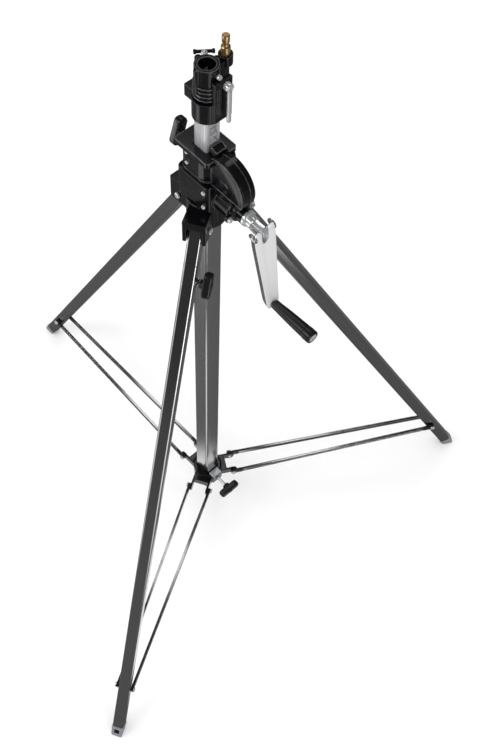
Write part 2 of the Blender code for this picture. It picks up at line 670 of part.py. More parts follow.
wheel_place = Matrix.Translation((WHEEL_X, 0, WHEEL_Z)) @ FACING_Y
drive_wheel = plate("drive_wheel", [wheel_outline(), arc((0, 0), 0.0063, 0, 342, 19)], WHEEL_WIDTH,
                    wheel_place, "bronze")
rod("wheel_axle", (WHEEL_X, CASE_NEAR_Y + GAP, WHEEL_Z), (WHEEL_X, AXLE_END_Y, WHEEL_Z), 0.006,
    "gear_steel", sides=20)

WORM_START = 0.0335
WORM_END = 0.0790
SHAFT_START = 0.0240
SHAFT_END = 0.1050


def thread_radius(x, angle):
    """Radius of the worm's surface: one right-handed thread with sloping flanks."""
    root, tip = 0.0124, 0.0186
    crest_half, flank = 0.0018, 0.0022
    phase = (x - WHEEL_X) / TOOTH_PITCH + 0.5 - (angle - math.pi / 2) / (2 * math.pi)
    distance = abs(phase - round(phase)) * TOOTH_PITCH
    share = min(1.0, max(0.0, (crest_half + flank - distance) / flank))
    return root + (tip - root) * share


def worm_mesh():
    """A skin of rings along X whose radius follows the thread, between two plain journals."""
    rings = 25
    sides = 20
    stations = [(SHAFT_START, True), (WORM_START, True)]
    stations += [(WORM_START + (WORM_END - WORM_START) * i / (rings - 1), False) for i in range(rings)]
    stations += [(WORM_END, True), (SHAFT_END, True)]
    shape = bmesh.new()
    loops = []
    for x, plain in stations:
        loop = []
        for side in range(sides):
            angle = 2 * math.pi * side / sides
            radius = SHAFT_RADIUS if plain else thread_radius(x, angle)
            loop.append(shape.verts.new((x, radius * math.cos(angle), SHAFT_Z + radius * math.sin(angle))))
        loops.append(loop)
    for first, second in zip(loops, loops[1:]):
        for side in range(sides):
            after = (side + 1) % sides
            shape.faces.new((first[side], first[after], second[after], second[side]))
    shape.faces.new(loops[0])
    shape.faces.new(loops[-1])
    return mesh_from_bmesh("worm_shaft", shape)


worm_shaft = add_object("worm_shaft", worm_mesh(), "gear_steel")

worm_bush = rod("worm_bush", (0.0240, 0, SHAFT_Z), (0.0320, 0, SHAFT_Z), 0.0120, "bronze", sides=24)
cut(worm_bush, rod("worm_bush_bore", (0.01, 0, SHAFT_Z), (0.05, 0, SHAFT_Z), SHAFT_RADIUS + GAP, sides=28))

bearing_cap = rod("bearing_cap", (0.0825, 0, SHAFT_Z), (0.0900, 0, SHAFT_Z), CAP_RADIUS,
                  "black_casting", sides=36)
cap_nose = rod("bearing_nose", (0.088, 0, SHAFT_Z), (0.1045, 0, SHAFT_Z), 0.0155, sides=28)
cap_ears = [rod("bearing_ear_%d" % i, (0.0830, y, SHAFT_Z), (0.0896, y, SHAFT_Z), 0.008, sides=20)
            for i, y in enumerate((-0.026, 0.026))]
unite(bearing_cap, cap_nose, *cap_ears)
cut(bearing_cap, rod("bearing_bore", (0.07, 0, SHAFT_Z), (0.12, 0, SHAFT_Z), SHAFT_RADIUS + GAP,
                     sides=28))
for index, y in enumerate((-0.027, 0.027), start=1):
    rod("cap_bolt_%d" % index, (0.0899, y, SHAFT_Z), (0.0945, y, SHAFT_Z), 0.0050, "steel", sides=6)

# ---------------------------------------------------------------- crank

# The crank is drawn with its arm straight down and then turned about the shaft.
CRANK_TURN = (Matrix.Translation((0, 0, SHAFT_Z)) @ Matrix.Rotation(math.radians(CRANK_TILT), 4, "X"))

crank_hub = rod("crank_hub", (SHAFT_END + GAP, 0, 0), (0.126, 0, 0), 0.0125, "chrome", sides=28)
tongue_loop = [(0.120, 0.009), (0.120, -0.009)] + arc((CRANK_PIN_X, 0), 0.009, -90, 90, 10)
tongue = plate("hub_tongue", [tongue_loop], 0.012, FACING_Y)
hub_flange = rod("hub_flange", (SHAFT_END + 2 * GAP, 0, 0), (0.1125, 0, 0), 0.016, sides=28)
unite(crank_hub, tongue, hub_flange)
cut(crank_hub, rod("hub_pin_hole", (CRANK_PIN_X, -0.02, 0), (CRANK_PIN_X, 0.02, 0), 0.0034, sides=16))

crank_pin = headed_pin("crank_pin", Matrix.Translation((CRANK_PIN_X, 0, 0)),
                       ARM_TOP_WIDTH / 2 + 0.0012, 0.003, 0.0055, 0.002, "chrome")


def arm_half_width(distance):
    """Half the arm's width at a distance below its pin."""
    share = min(1.0, max(0.0, (distance - 0.030) / (ARM_LENGTH - 0.030)))
    return (ARM_TOP_WIDTH + (ARM_END_WIDTH - ARM_TOP_WIDTH) * share) / 2


WEB_X = CRANK_PIN_X + 0.003      # inner face of the arm's web


def web_outline():
    """The arm's web in (y, z): two ears at the top, a taper and a round end."""
    slot_half = 0.008
    slot_end = -0.024
    ear_arc = arc((2 * slot_half, 0.004), slot_half, 180, 0, 8)
    end_half = ARM_END_WIDTH / 2
    round_end = arc((0, -ARM_LENGTH), end_half, 0, -180, 10)
    right = ear_arc + [(arm_half_width(0.03), -0.03)]
    left = [(-arm_half_width(0.03), -0.03)] + [(-across, up) for across, up in ear_arc[::-1]]
    return right + round_end + left + arc((0, slot_end), slot_half, 180, 360, 8)


# Plate drawn in (y, z), thickness along x.
FACING_X = Matrix(((0, 0, 1, 0), (1, 0, 0, 0), (0, 1, 0, 0), (0, 0, 0, 1)))
crank_arm = plate("crank_arm", [web_outline()], ARM_SHEET,
                  Matrix.Translation((WEB_X + ARM_SHEET / 2, 0, 0)) @ FACING_X, "chrome")


def arm_flange(sign):
    """A side wall of the arm, leaning in with the taper, with a round ear about the pin."""
    upper, lower = 0.030, ARM_LENGTH
    front = WEB_X + ARM_SHEET / 2
    side = sign * ((ARM_TOP_WIDTH - ARM_SHEET) / 2 - GAP)
    shift = arm_half_width(upper) - arm_half_width(lower)
    lean = math.atan2(shift, lower - upper)
    straight = plate("arm_ear_%d" % sign,
                     [[(front, -0.034), (front, 0.0115)]
                      + arc((CRANK_PIN_X - 0.001, 0), 0.010, 90, 200, 6)
                      + [(front - ARM_DEPTH, -0.034)]], ARM_SHEET,
                     Matrix.Translation((0, side, 0)) @ FACING_Y)
    sloped = box("arm_wall_%d" % sign, (front - ARM_DEPTH + GAP, -ARM_SHEET / 2, upper - lower - 0.001),
                 (front + GAP, ARM_SHEET / 2 - GAP, 0.003))
    sloped.data.transform(Matrix.Translation((0, side, -upper)) @ Matrix.Rotation(-sign * lean, 4, "X"))
    return straight, sloped


for sign in (-1, 1):
    unite(crank_arm, *arm_flange(sign))
cut(crank_arm, rod("arm_pin_hole", (CRANK_PIN_X, -0.04, 0), (CRANK_PIN_X, 0.04, 0), 0.0034, sides=16),
    rod("arm_bolt_hole", (0.13, 0, -ARM_LENGTH), (0.17, 0, -ARM_LENGTH), 0.0044, sides=16))

GRIP_START = WEB_X + ARM_SHEET + 0.003
GRIP_END = 0.264
grip_bolt = rod("grip_bolt", (WEB_X - 0.001, 0, -ARM_LENGTH), (GRIP_END - 0.012, 0, -ARM_LENGTH), 0.004,
                "steel", sides=16)
unite(grip_bolt, rod("grip_bolt_head", (WEB_X - 0.0055, 0, -ARM_LENGTH), (WEB_X - GAP, 0, -ARM_LENGTH),
                     0.0075, sides=12))
grip_profile = [(0.0, GRIP_END), (0.0120, GRIP_END), (0.0140, GRIP_END - 0.002),
                (0.0142, GRIP_END - 0.016), (0.0128, GRIP_END - 0.030), (0.0100, GRIP_START + 0.010),
                (0.0092, GRIP_START), (0.0, GRIP_START)]
grip = turned("grip", grip_profile, UPRIGHT, "black_plastic")
grip.matrix_world = CRANK_TURN @ Matrix.Translation((0, 0, -ARM_LENGTH)) @ ALONG_X
cut(grip, rod("grip_bore", (GRIP_START - 0.01, 0, -ARM_LENGTH), (GRIP_END - 0.010, 0, -ARM_LENGTH), 0.0044,
              sides=16))

for piece in list(PARTS.objects) + list(CUTTERS.objects):
    if piece.name.startswith(("crank_", "hub_", "arm_", "grip_bolt", "grip_bore")):
        piece.data.transform(CRANK_TURN)

# ---------------------------------------------------------------- riser clamp and lever

riser_clamp = rod("riser_clamp", (0, 0, CLAMP_BOTTOM), (0, 0, CLAMP_TOP), CLAMP_RADIUS, "black_casting",
                  sides=36)
clamp_block = box("clamp_block", (0.0226, -0.010, 1.442), (0.0310, 0.028, 1.526))
clamp_root = box("clamp_root", (0.010, -0.010, 1.442), (0.0280, 0.022, CLAMP_TOP))
clamp_nut = box("clamp_nut_boss", (-0.046, -0.010, 1.452), (-0.018, 0.010, CLAMP_TOP))
unite(riser_clamp, clamp_block, clamp_root, clamp_nut)
cut(riser_clamp,
    bar("clamp_lower_bore", (passage - GAP, passage - GAP), (1.40, RISER_TOP + GAP), UPRIGHT),
    bar("clamp_upper_bore", (SECOND_SIZE[0] + 4 * GAP, SECOND_SIZE[1] + 4 * GAP), (1.44, 1.50), UPRIGHT,
        centre=(SECOND_CENTRE_X, 0)))

LEVER_Y, LEVER_Z = 0.013, 1.516
clamp_lever = rod("clamp_lever", (0.0313, LEVER_Y, LEVER_Z), (0.0430, LEVER_Y, LEVER_Z), 0.0078, "chrome",
                  sides=24)
unite(clamp_lever, box("lever_bar", (0.0370, LEVER_Y - 0.0040, 1.440),
                       (0.0420, LEVER_Y + 0.0040, LEVER_Z), round_edges=0.0015))

# ---------------------------------------------------------------- head

head_casting = rod("head_casting", (0, 0, HEAD_BOTTOM), (0, 0, HEAD_TOP), HEAD_RADIUS, "black_casting",
                   sides=40)
lobes = [rod("head_lobe_%d" % azimuth, azimuth_frame(azimuth) @ Vector((0.0190, 0, 1.500)),
             azimuth_frame(azimuth) @ Vector((0.0190, 0, HEAD_TOP - 0.0005)), 0.0060, sides=20)
         for azimuth in (180, -90)]
stud_x, stud_y = STUD_PLACE
stud_cup = rod("head_cup", (stud_x, stud_y, 1.526), (stud_x, stud_y, HEAD_TOP - 0.001), 0.0125, sides=28)
stud_web = box("head_web", (-0.006, 0.014, 1.492), (0.009, 0.034, 1.538))
stud_pillar = box("head_pillar", (stud_x - 0.005, stud_y - 0.008, 1.487),
                  (stud_x + 0.005, stud_y + 0.005, 1.535))
screw_out = azimuth_frame(HEAD_SCREW_AZIMUTH)
screw_boss = rod("head_screw_boss", screw_out @ Vector((0.016, 0, HEAD_SCREW_Z)),
                 screw_out @ Vector((0.030, 0, HEAD_SCREW_Z)), 0.008, sides=20)
unite(head_casting, stud_web, stud_pillar, stud_cup, screw_boss, *lobes)
cut(head_casting,
    rod("socket_bore", (0, 0, HEAD_TOP - SOCKET_DEPTH), (0, 0, HEAD_TOP + 0.01), SOCKET_RADIUS, sides=36),
    bar("head_riser_seat", (SECOND_SIZE[0] + 2 * GAP, SECOND_SIZE[1] + 2 * GAP),
        (HEAD_BOTTOM - 0.01, SECOND_TOP + GAP), UPRIGHT, centre=(SECOND_CENTRE_X, 0)),
    rod("stud_bore", (stud_x, stud_y, 1.530), (stud_x, stud_y, 1.56), 0.0083, sides=24),
    rod("screw_bore", screw_out @ Vector((0.010, 0, HEAD_SCREW_Z)),
        screw_out @ Vector((0.040, 0, HEAD_SCREW_Z)), 0.0043, sides=16))

head_screw = rod("head_screw", screw_out @ Vector((0.0155, 0, HEAD_SCREW_Z)),
                 screw_out @ Vector((0.0517, 0, HEAD_SCREW_Z)), 0.0040, "steel", sides=16)
head_tee = rod("head_tee_bar", screw_out @ Vector((0.0550, -0.018, HEAD_SCREW_Z)),
               screw_out @ Vector((0.0550, 0.018, HEAD_SCREW_Z)), 0.0030, "black_plastic", sides=16)
stud_profile = [(0.0, 1.584), (0.0045, 1.584), (0.0064, 1.5825), (0.0066, 1.571), (0.0054, 1.569),
                (0.0054, 1.563), (0.0080, 1.561), (0.0080, 1.532), (0.0072, 1.5306), (0.0, 1.5306)]
turned("brass_stud", stud_profile, Matrix.Translation((stud_x, stud_y, 0)), "brass", steps=24)
rod("head_bolt", (0.0219, 0.004, 1.533), (0.0290, 0.004, 1.533), 0.0045, "chrome", sides=16)

# ---------------------------------------------------------------- joint axes

for side, azimuth in LEG_AZIMUTHS.items():
    pivot = azimuth_frame(azimuth) @ Vector((LEG_PIVOT_RADIUS, 0, LEG_PIVOT_Z))
    pin_point = azimuth_frame(azimuth) @ Vector((BRACE_PIN_RADIUS, 0, SPIDER_Z))
    swinging = leg_pieces[side] + ([front_sleeve, front_spigot] if side == "front" else [])
    for piece in swinging:
        shift_origin(piece, pivot)
    carry("leg_" + side, pivot, swinging)
    for piece in brace_sets[side]:
        shift_origin(piece, pin_point)
    carry("brace_" + side, pin_point, brace_sets[side])

pin_axis = CRANK_TURN @ Vector((CRANK_PIN_X, 0, 0))
screw_axis = screw_out @ Vector((0.030, 0, HEAD_SCREW_Z))
turning_pieces = [
    (spider_knob, (0.0225, 0, SPIDER_Z)),
    (level_knob, level_place @ Vector((0, 0, 0))),
    (lock_knob, (-0.0175, 0, 1.338)),
    (clamp_lever, (0.0313, LEVER_Y, LEVER_Z)),
    (drive_wheel, (WHEEL_X, 0, WHEEL_Z)),
    (crank_arm, pin_axis),
    (grip_bolt, pin_axis),
    (crank_hub, (0, 0, SHAFT_Z)),
    (crank_pin, (0, 0, SHAFT_Z)),
    (worm_shaft, (0, 0, SHAFT_Z)),
    (head_screw, screw_axis),
    (head_tee, screw_axis),
]
for piece, point in turning_pieces:
    shift_origin(piece, point)

# ---------------------------------------------------------------- origin

for item in list(PARTS.objects) + list(CUTTERS.objects):
    if item.parent is None:
        item.location.z -= PLUG_BOTTOM
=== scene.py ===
"""Looks for a wind-up lighting stand: every visible piece, its finishes, the floor, lights and camera.

Lengths are metres. Pieces are worked out with heights above the floor and lowered by FLOOR_DEPTH when
they are placed, because the frame's origin is the column's lower face. Each surface is a grid of points
computed as one array; its docstring gives the formula in words.
"""

import math

import bmesh
import bpy
import numpy as np
from mathutils import Matrix


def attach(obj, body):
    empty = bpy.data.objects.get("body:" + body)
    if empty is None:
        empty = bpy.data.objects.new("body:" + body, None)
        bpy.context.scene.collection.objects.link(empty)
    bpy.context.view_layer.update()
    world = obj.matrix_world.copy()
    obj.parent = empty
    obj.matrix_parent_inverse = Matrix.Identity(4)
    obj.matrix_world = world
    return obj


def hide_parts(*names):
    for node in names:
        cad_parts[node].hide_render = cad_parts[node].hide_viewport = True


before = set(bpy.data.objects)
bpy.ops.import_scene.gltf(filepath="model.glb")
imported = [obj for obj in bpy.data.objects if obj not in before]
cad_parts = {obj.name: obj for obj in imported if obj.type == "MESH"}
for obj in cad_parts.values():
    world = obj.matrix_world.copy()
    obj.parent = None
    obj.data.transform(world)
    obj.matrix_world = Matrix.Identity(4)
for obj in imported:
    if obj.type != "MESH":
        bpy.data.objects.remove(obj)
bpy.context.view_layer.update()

# ------------------------------------------------------------ main dimensions

FLOOR_DEPTH = 0.050
GAP = 0.0003
FOOT_RADIUS, APEX_HEIGHT, PIVOT_RADIUS = 0.700, 1.303, 0.055
PIVOT_HEIGHT = APEX_HEIGHT * (1 - PIVOT_RADIUS / FOOT_RADIUS)
LEG_ANGLE = math.atan2(FOOT_RADIUS, APEX_HEIGHT)
LEG_LENGTH = math.hypot(FOOT_RADIUS - PIVOT_RADIUS, PIVOT_HEIGHT)
LEG_SIDE, LEG_WALL = 0.028, 0.002
FOOT_SIDE, FOOT_LENGTH = 0.0296, 0.026
AZIMUTHS = {"left": 180.0, "front": -60.0, "right": 60.0}
SHAFT_HEIGHT = 1.263699
WHEEL_HEIGHT = 1.322
SPIDER_HEIGHT = 0.116
BRACE_PIN, BRACE_PIN_SIDE, BRACE_END_SIDE = 0.066, 0.0275, 0.0181
BRACE_END = (FOOT_RADIUS * 0.895, APEX_HEIGHT * 0.105)
BRACE_HEIGHT, BRACE_THICK = 0.013, 0.006
CRANK_TILT, CRANK_PIN_X, ARM_LENGTH = 8.5, 0.147, 0.250

# ------------------------------------------------------------ frames


def turn(axis, degrees):
    """A rotation about an axis through the origin, as a 4 by 4 array."""
    return np.array(Matrix.Rotation(math.radians(degrees), 4, axis))


def shift(x=0.0, y=0.0, z=0.0):
    """A move, as a 4 by 4 array."""
    matrix = np.eye(4)
    matrix[:3, 3] = (x, y, z)
    return matrix


STANDING = shift(z=-FLOOR_DEPTH)
ALONG_X = turn("Y", 90)
ALONG_MINUS_X = turn("Y", -90)
ALONG_Y = turn("X", -90)
ALONG_MINUS_Y = turn("X", 90)
INTO_X = np.array([[0, 0, 1, 0], [1, 0, 0, 0], [0, 1, 0, 0], [0, 0, 0, 1]], float)


def outwards(azimuth):
    """Local X points away from the column along the azimuth."""
    return STANDING @ turn("Z", azimuth)


def down_leg(azimuth):
    """Local Z runs down a leg from its pivot and local Y sideways."""
    return outwards(azimuth) @ shift(PIVOT_RADIUS, 0, PIVOT_HEIGHT) @ turn("Y", 180 - math.degrees(LEG_ANGLE))


# ------------------------------------------------------------ surfaces


def skin(points, round_rows=False, caps=True):
    """Quads over a grid of points whose columns close into rings; the end rings are capped."""
    rows, columns = points.shape[:2]
    last = rows if round_rows else rows - 1
    row, column = np.meshgrid(np.arange(last), np.arange(columns), indexing="ij")
    after, beside = (row + 1) % rows, (column + 1) % columns
    quads = np.stack([row * columns + column, row * columns + beside,
                      after * columns + beside, after * columns + column], -1).reshape(-1, 4).tolist()
    if caps and not round_rows:
        quads += [list(range(columns))[::-1], list(range((rows - 1) * columns, rows * columns))]
    return facing_out(points.reshape(-1, 3), quads)


def facing_out(points, faces):
    """Turns every face round if the closed form's signed volume is negative."""
    volume = 0.0
    for size in {len(face) for face in faces}:
        corners = points[np.array([face for face in faces if len(face) == size])]
        first = corners[:, :1].repeat(size - 2, 1)
        volume += np.einsum("ijk,ijk->", first, np.cross(corners[:, 1:-1], corners[:, 2:]))
    return points, [face[::-1] for face in faces] if volume < 0 else faces


def moved(shell, matrix):
    """A shell with every point put through a matrix."""
    points, faces = shell
    return points @ matrix[:3, :3].T + matrix[:3, 3], faces


def rounded(width, height, radius, centre=(0.0, 0.0), steps=6):
    """A rectangle with quarter-circle corners, counter-clockwise, the same count for every size."""
    angle = np.radians(np.arange(4)[:, None] * 90 + np.linspace(0, 90, steps + 1)[None])
    side = np.array([(1, 1), (-1, 1), (-1, -1), (1, -1)])[:, None]
    inner = np.array([width / 2 - radius, height / 2 - radius])
    ring = side * inner + radius * np.stack([np.cos(angle), np.sin(angle)], -1)
    return ring.reshape(-1, 2) + np.array(centre)


def drawn_in(outline, inset):
    """An outline moved inwards along the mean of its neighbouring edges' normals."""
    before = outline - np.roll(outline, 1, 0)
    after = np.roll(outline, -1, 0) - outline
    normals = []
    for edge in (before, after):
        length = np.maximum(np.linalg.norm(edge, axis=1, keepdims=True), 1e-9)
        normals.append(np.stack([-edge[:, 1], edge[:, 0]], -1) / length)
    mean = normals[0] + normals[1]
    share = np.maximum((mean * normals[0]).sum(1, keepdims=True), 0.5)
    return outline + inset * mean / share


def slab(outline, low, high, rim=0.001, steps=3):
    """An outline carried along Z, with a quarter-circle rounding of its rims at both ends."""
    outline = np.asarray(outline, float)
    angle = np.linspace(0, math.pi / 2, steps + 1)
    inset = np.concatenate([rim * (1 - np.sin(angle)), rim * (1 - np.cos(angle))])
    height = np.concatenate([low + rim * (1 - np.cos(angle)), high - rim * (1 - np.sin(angle))])
    rings = [np.column_stack([drawn_in(outline, i), np.full(len(outline), h)])
             for i, h in zip(inset, height)]
    return skin(np.array(rings))


def sleeve(outer, inner, low, high, rim=0.0006):
    """A wall between two outlines of the same count, carried along Z, with small chamfers."""
    rings = [(drawn_in(outer, rim), low), (outer, low + rim), (outer, high - rim),
             (drawn_in(outer, rim), high), (drawn_in(inner, -rim), high), (inner, high - rim),
             (inner, low + rim), (drawn_in(inner, -rim), low)]
    return skin(np.array([np.column_stack([o, np.full(len(o), h)]) for o, h in rings]), round_rows=True)


def turned(profile, sides=40, hollow=False):
    """A profile of (radius, height) carried round Z."""
    profile = np.asarray(profile, float)
    angle = np.linspace(0, 2 * math.pi, sides, endpoint=False)
    radius, height = profile[:, :1], profile[:, 1:]
    grid = np.stack([radius * np.cos(angle), radius * np.sin(angle),
                     np.broadcast_to(height, (len(profile), sides))], -1)
    return skin(grid, round_rows=hollow)


def drum(radius, low, high, rim=0.001, sides=40):
    """A round bar along Z with quarter-circle rims."""
    angle = np.linspace(0, math.pi / 2, 4)
    lower = np.column_stack([radius - rim + rim * np.sin(angle), low + rim * (1 - np.cos(angle))])
    upper = np.column_stack([radius - rim + rim * np.cos(angle), high - rim + rim * np.sin(angle)])
    return turned(np.concatenate([lower, upper]), sides)


def hoop(radius, tube, height, sides=48):
    """A torus: a small circle carried round Z."""
    angle = np.linspace(0, 2 * math.pi, 12, endpoint=False)
    ring = np.column_stack([radius + tube * np.cos(angle), height + tube * np.sin(angle)])
    return turned(ring, sides, True)


def bolt_head(radius, height, sides=32):
    """A cap head with a round rim and a sunk, tapering drive."""
    return turned([(radius * 0.94, 0), (radius, height * 0.12), (radius, height * 0.62),
                   (radius * 0.93, height * 0.86), (radius * 0.78, height), (radius * 0.52, height),
                   (radius * 0.47, height * 0.90), (radius * 0.42, height * 0.45)], sides)


def carried(section, centres, across, up, widths, heights):
    """A closed section carried along centres; across and up are the section's axes at each."""
    grid = (centres[:, None] + section[None, :, :1] * (widths[:, None] * across)[:, None]
            + section[None, :, 1:] * (heights[:, None] * up)[:, None])
    return skin(grid)


def make(name, shells, place, body, look, stands_for=(), crease=32):
    """Joins closed shells drawn in one local frame into a piece and puts it on its body."""
    offset, points, faces = 0, [], []
    for shell_points, shell_faces in shells:
        points.append(shell_points)
        faces += [[index + offset for index in face] for face in shell_faces]
        offset += len(shell_points)
    local = np.concatenate(points)
    placed = local @ place[:3, :3].T + place[:3, 3]
    mesh = bpy.data.meshes.new(name)
    mesh.from_pydata(placed.tolist(), [], faces)
    own = mesh.attributes.new("own", "FLOAT_VECTOR", "POINT")
    own.data.foreach_set("vector", local.astype(np.float32).ravel())
    mesh.shade_smooth()
    mesh.set_sharp_from_angle(angle=math.radians(crease))
    return settle(bpy.data.objects.new(name, mesh), body, look, stands_for)


def settle(piece, body, look, stands_for=()):
    """Gives a piece its finish, its body and the nodes it replaces."""
    bpy.context.scene.collection.objects.link(piece)
    piece.data.materials.clear()
    piece.data.materials.append(LOOKS[look])
    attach(piece, body)
    if stands_for:
        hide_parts(*stands_for)
    return piece


def cast_from(name, node, body, voxel, look, rounds=6):
    """A casting with soft fillets: the node's solid, remeshed in even cells and then relaxed.

    Each relaxing round moves every point half way to the mean of its neighbours.
    """
    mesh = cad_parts[node].data.copy()
    merged = bmesh.new()
    merged.from_mesh(mesh)
    bmesh.ops.remove_doubles(merged, verts=merged.verts, dist=1e-6)
    merged.to_mesh(mesh)
    merged.free()
    source = bpy.data.objects.new(name + "_source", mesh)
    bpy.context.scene.collection.objects.link(source)
    cells = source.modifiers.new("cells", "REMESH")
    cells.mode = "VOXEL"
    cells.voxel_size = voxel
    relax = source.modifiers.new("relax", "SMOOTH")
    relax.factor = 0.5
    relax.iterations = rounds
    bpy.context.view_layer.update()
    evaluated = source.evaluated_get(bpy.context.evaluated_depsgraph_get())
    cast = bpy.data.meshes.new_from_object(evaluated)
    bpy.data.objects.remove(source, do_unlink=True)
    cast.name = name
    points = np.empty(len(cast.vertices) * 3, np.float32)
    cast.vertices.foreach_get("co", points)
    own = cast.attributes.new("own", "FLOAT_VECTOR", "POINT")
    own.data.foreach_set("vector", points)
    cast.shade_smooth()
    return settle(bpy.data.objects.new(name, cast), body, look, (node,))


# ------------------------------------------------------------ finishes


def new_group(name, inputs, outputs):
    """A shader group with named sockets, and its input and output nodes."""
    group = bpy.data.node_groups.new(name, "ShaderNodeTree")
    for label, kind, value in inputs:
        made = group.interface.new_socket(label, in_out="INPUT", socket_type="NodeSocket" + kind)
        if value is not None:
            made.default_value = value
    for label, kind in outputs:
        group.interface.new_socket(label, in_out="OUTPUT", socket_type="NodeSocket" + kind)
    return group, group.nodes.new("NodeGroupInput"), group.nodes.new("NodeGroupOutput")


def node(tree, kind, **settings):
    """A shader node with its settings given by name."""
    made = tree.nodes.new("ShaderNode" + kind)
    for label, value in settings.items():
        setattr(made, label, value)
    return made


def grain_group():
    """Lines drawn out along one axis: fine noise on coordinates squeezed along that axis."""
    group, given, out = new_group("drawn_lines",
                                  [("Vector", "Vector", None), ("Squeeze", "Vector", (900, 900, 12)),
                                   ("Rough Low", "Float", 0.2), ("Rough High", "Float", 0.4)],
                                  [("Roughness", "Float"), ("Height", "Float")])
    scale = node(group, "VectorMath", operation="MULTIPLY")
    noise = node(group, "TexNoise")
    noise.inputs["Scale"].default_value = 1.0
    noise.inputs["Detail"].default_value = 3.0
    spread = node(group, "MapRange")
    link = group.links.new
    link(given.outputs["Vector"], scale.inputs[0])
    link(given.outputs["Squeeze"], scale.inputs[1])
    link(scale.outputs[0], noise.inputs["Vector"])
    link(noise.outputs["Fac"], spread.inputs["Value"])
    link(given.outputs["Rough Low"], spread.inputs["To Min"])
    link(given.outputs["Rough High"], spread.inputs["To Max"])
    spread.inputs["From Min"].default_value = 0.3
    spread.inputs["From Max"].default_value = 0.7
    link(spread.outputs["Result"], out.inputs["Roughness"])
    link(noise.outputs["Fac"], out.inputs["Height"])
    return group


def skin_group():
    """A cast or moulded skin: small pits for height and large soft patches for roughness."""
    group, given, out = new_group("cast_skin", [("Vector", "Vector", None), ("Pit Scale", "Float", 900.0),
                                                ("Rough Low", "Float", 0.2), ("Rough High", "Float", 0.4)],
                                  [("Roughness", "Float"), ("Height", "Float")])
    pits, patches = node(group, "TexNoise"), node(group, "TexNoise")
    pits.inputs["Detail"].default_value = 4.0
    patches.inputs["Scale"].default_value = 26.0
    spread = node(group, "MapRange")
    link = group.links.new
    link(given.outputs["Vector"], pits.inputs["Vector"])
    link(given.outputs["Vector"], patches.inputs["Vector"])
    link(given.outputs["Pit Scale"], pits.inputs["Scale"])
    link(patches.outputs["Fac"], spread.inputs["Value"])
    link(given.outputs["Rough Low"], spread.inputs["To Min"])
    link(given.outputs["Rough High"], spread.inputs["To Max"])
    spread.inputs["From Min"].default_value = 0.35
    spread.inputs["From Max"].default_value = 0.65
    link(spread.outputs["Result"], out.inputs["Roughness"])
    link(pits.outputs["Fac"], out.inputs["Height"])
    return group


def edge_wear_and_light_group():
    """Edge marks: the angle between the true normal and a rounded one, broken up by noise. The edge colour is
    partly wear and partly painted light: painted glints on the castings' edges and painted shade on the crank
    arm's edges.
    """
    group, given, out = new_group("edge_wear_and_painted_light", [("Vector", "Vector", None), ("Radius", "Float", 0.001),
                                                   ("Body Colour", "Color", (0.1, 0.1, 0.1, 1)),
                                                   ("Edge Colour", "Color", (0.5, 0.5, 0.5, 1)),
                                                   ("Amount", "Float", 0.5)],
                                  [("Colour", "Color"), ("Normal", "Vector")])
    bevel, shape = node(group, "Bevel", samples=4), node(group, "NewGeometry")
    dot = node(group, "VectorMath", operation="DOT_PRODUCT")
    spread, noise = node(group, "MapRange"), node(group, "TexNoise")
    noise.inputs["Scale"].default_value = 140.0
    times, strength = node(group, "Math", operation="MULTIPLY"), node(group, "Math", operation="MULTIPLY")
    shade = node(group, "Mix", data_type="RGBA")
    link = group.links.new
    link(given.outputs["Radius"], bevel.inputs["Radius"])
    link(bevel.outputs["Normal"], dot.inputs[0])
    link(shape.outputs["Normal"], dot.inputs[1])
    link(dot.outputs["Value"], spread.inputs["Value"])
    for label, value in (("From Min", 0.99), ("From Max", 0.80), ("To Min", 0.0), ("To Max", 1.0)):
        spread.inputs[label].default_value = value
    link(given.outputs["Vector"], noise.inputs["Vector"])
    link(spread.outputs["Result"], times.inputs[0])
    link(noise.outputs["Fac"], times.inputs[1])
    link(times.outputs[0], strength.inputs[0])
    link(given.outputs["Amount"], strength.inputs[1])
    link(strength.outputs[0], shade.inputs["Factor"])
    link(given.outputs["Body Colour"], shade.inputs["A"])
    link(given.outputs["Edge Colour"], shade.inputs["B"])
    link(shade.outputs["Result"], out.inputs["Colour"])
    link(bevel.outputs["Normal"], out.inputs["Normal"])
    return group


DRAWN, CAST, EDGE_WEAR_AND_LIGHT = grain_group(), skin_group(), edge_wear_and_light_group()


LOOKS = {}


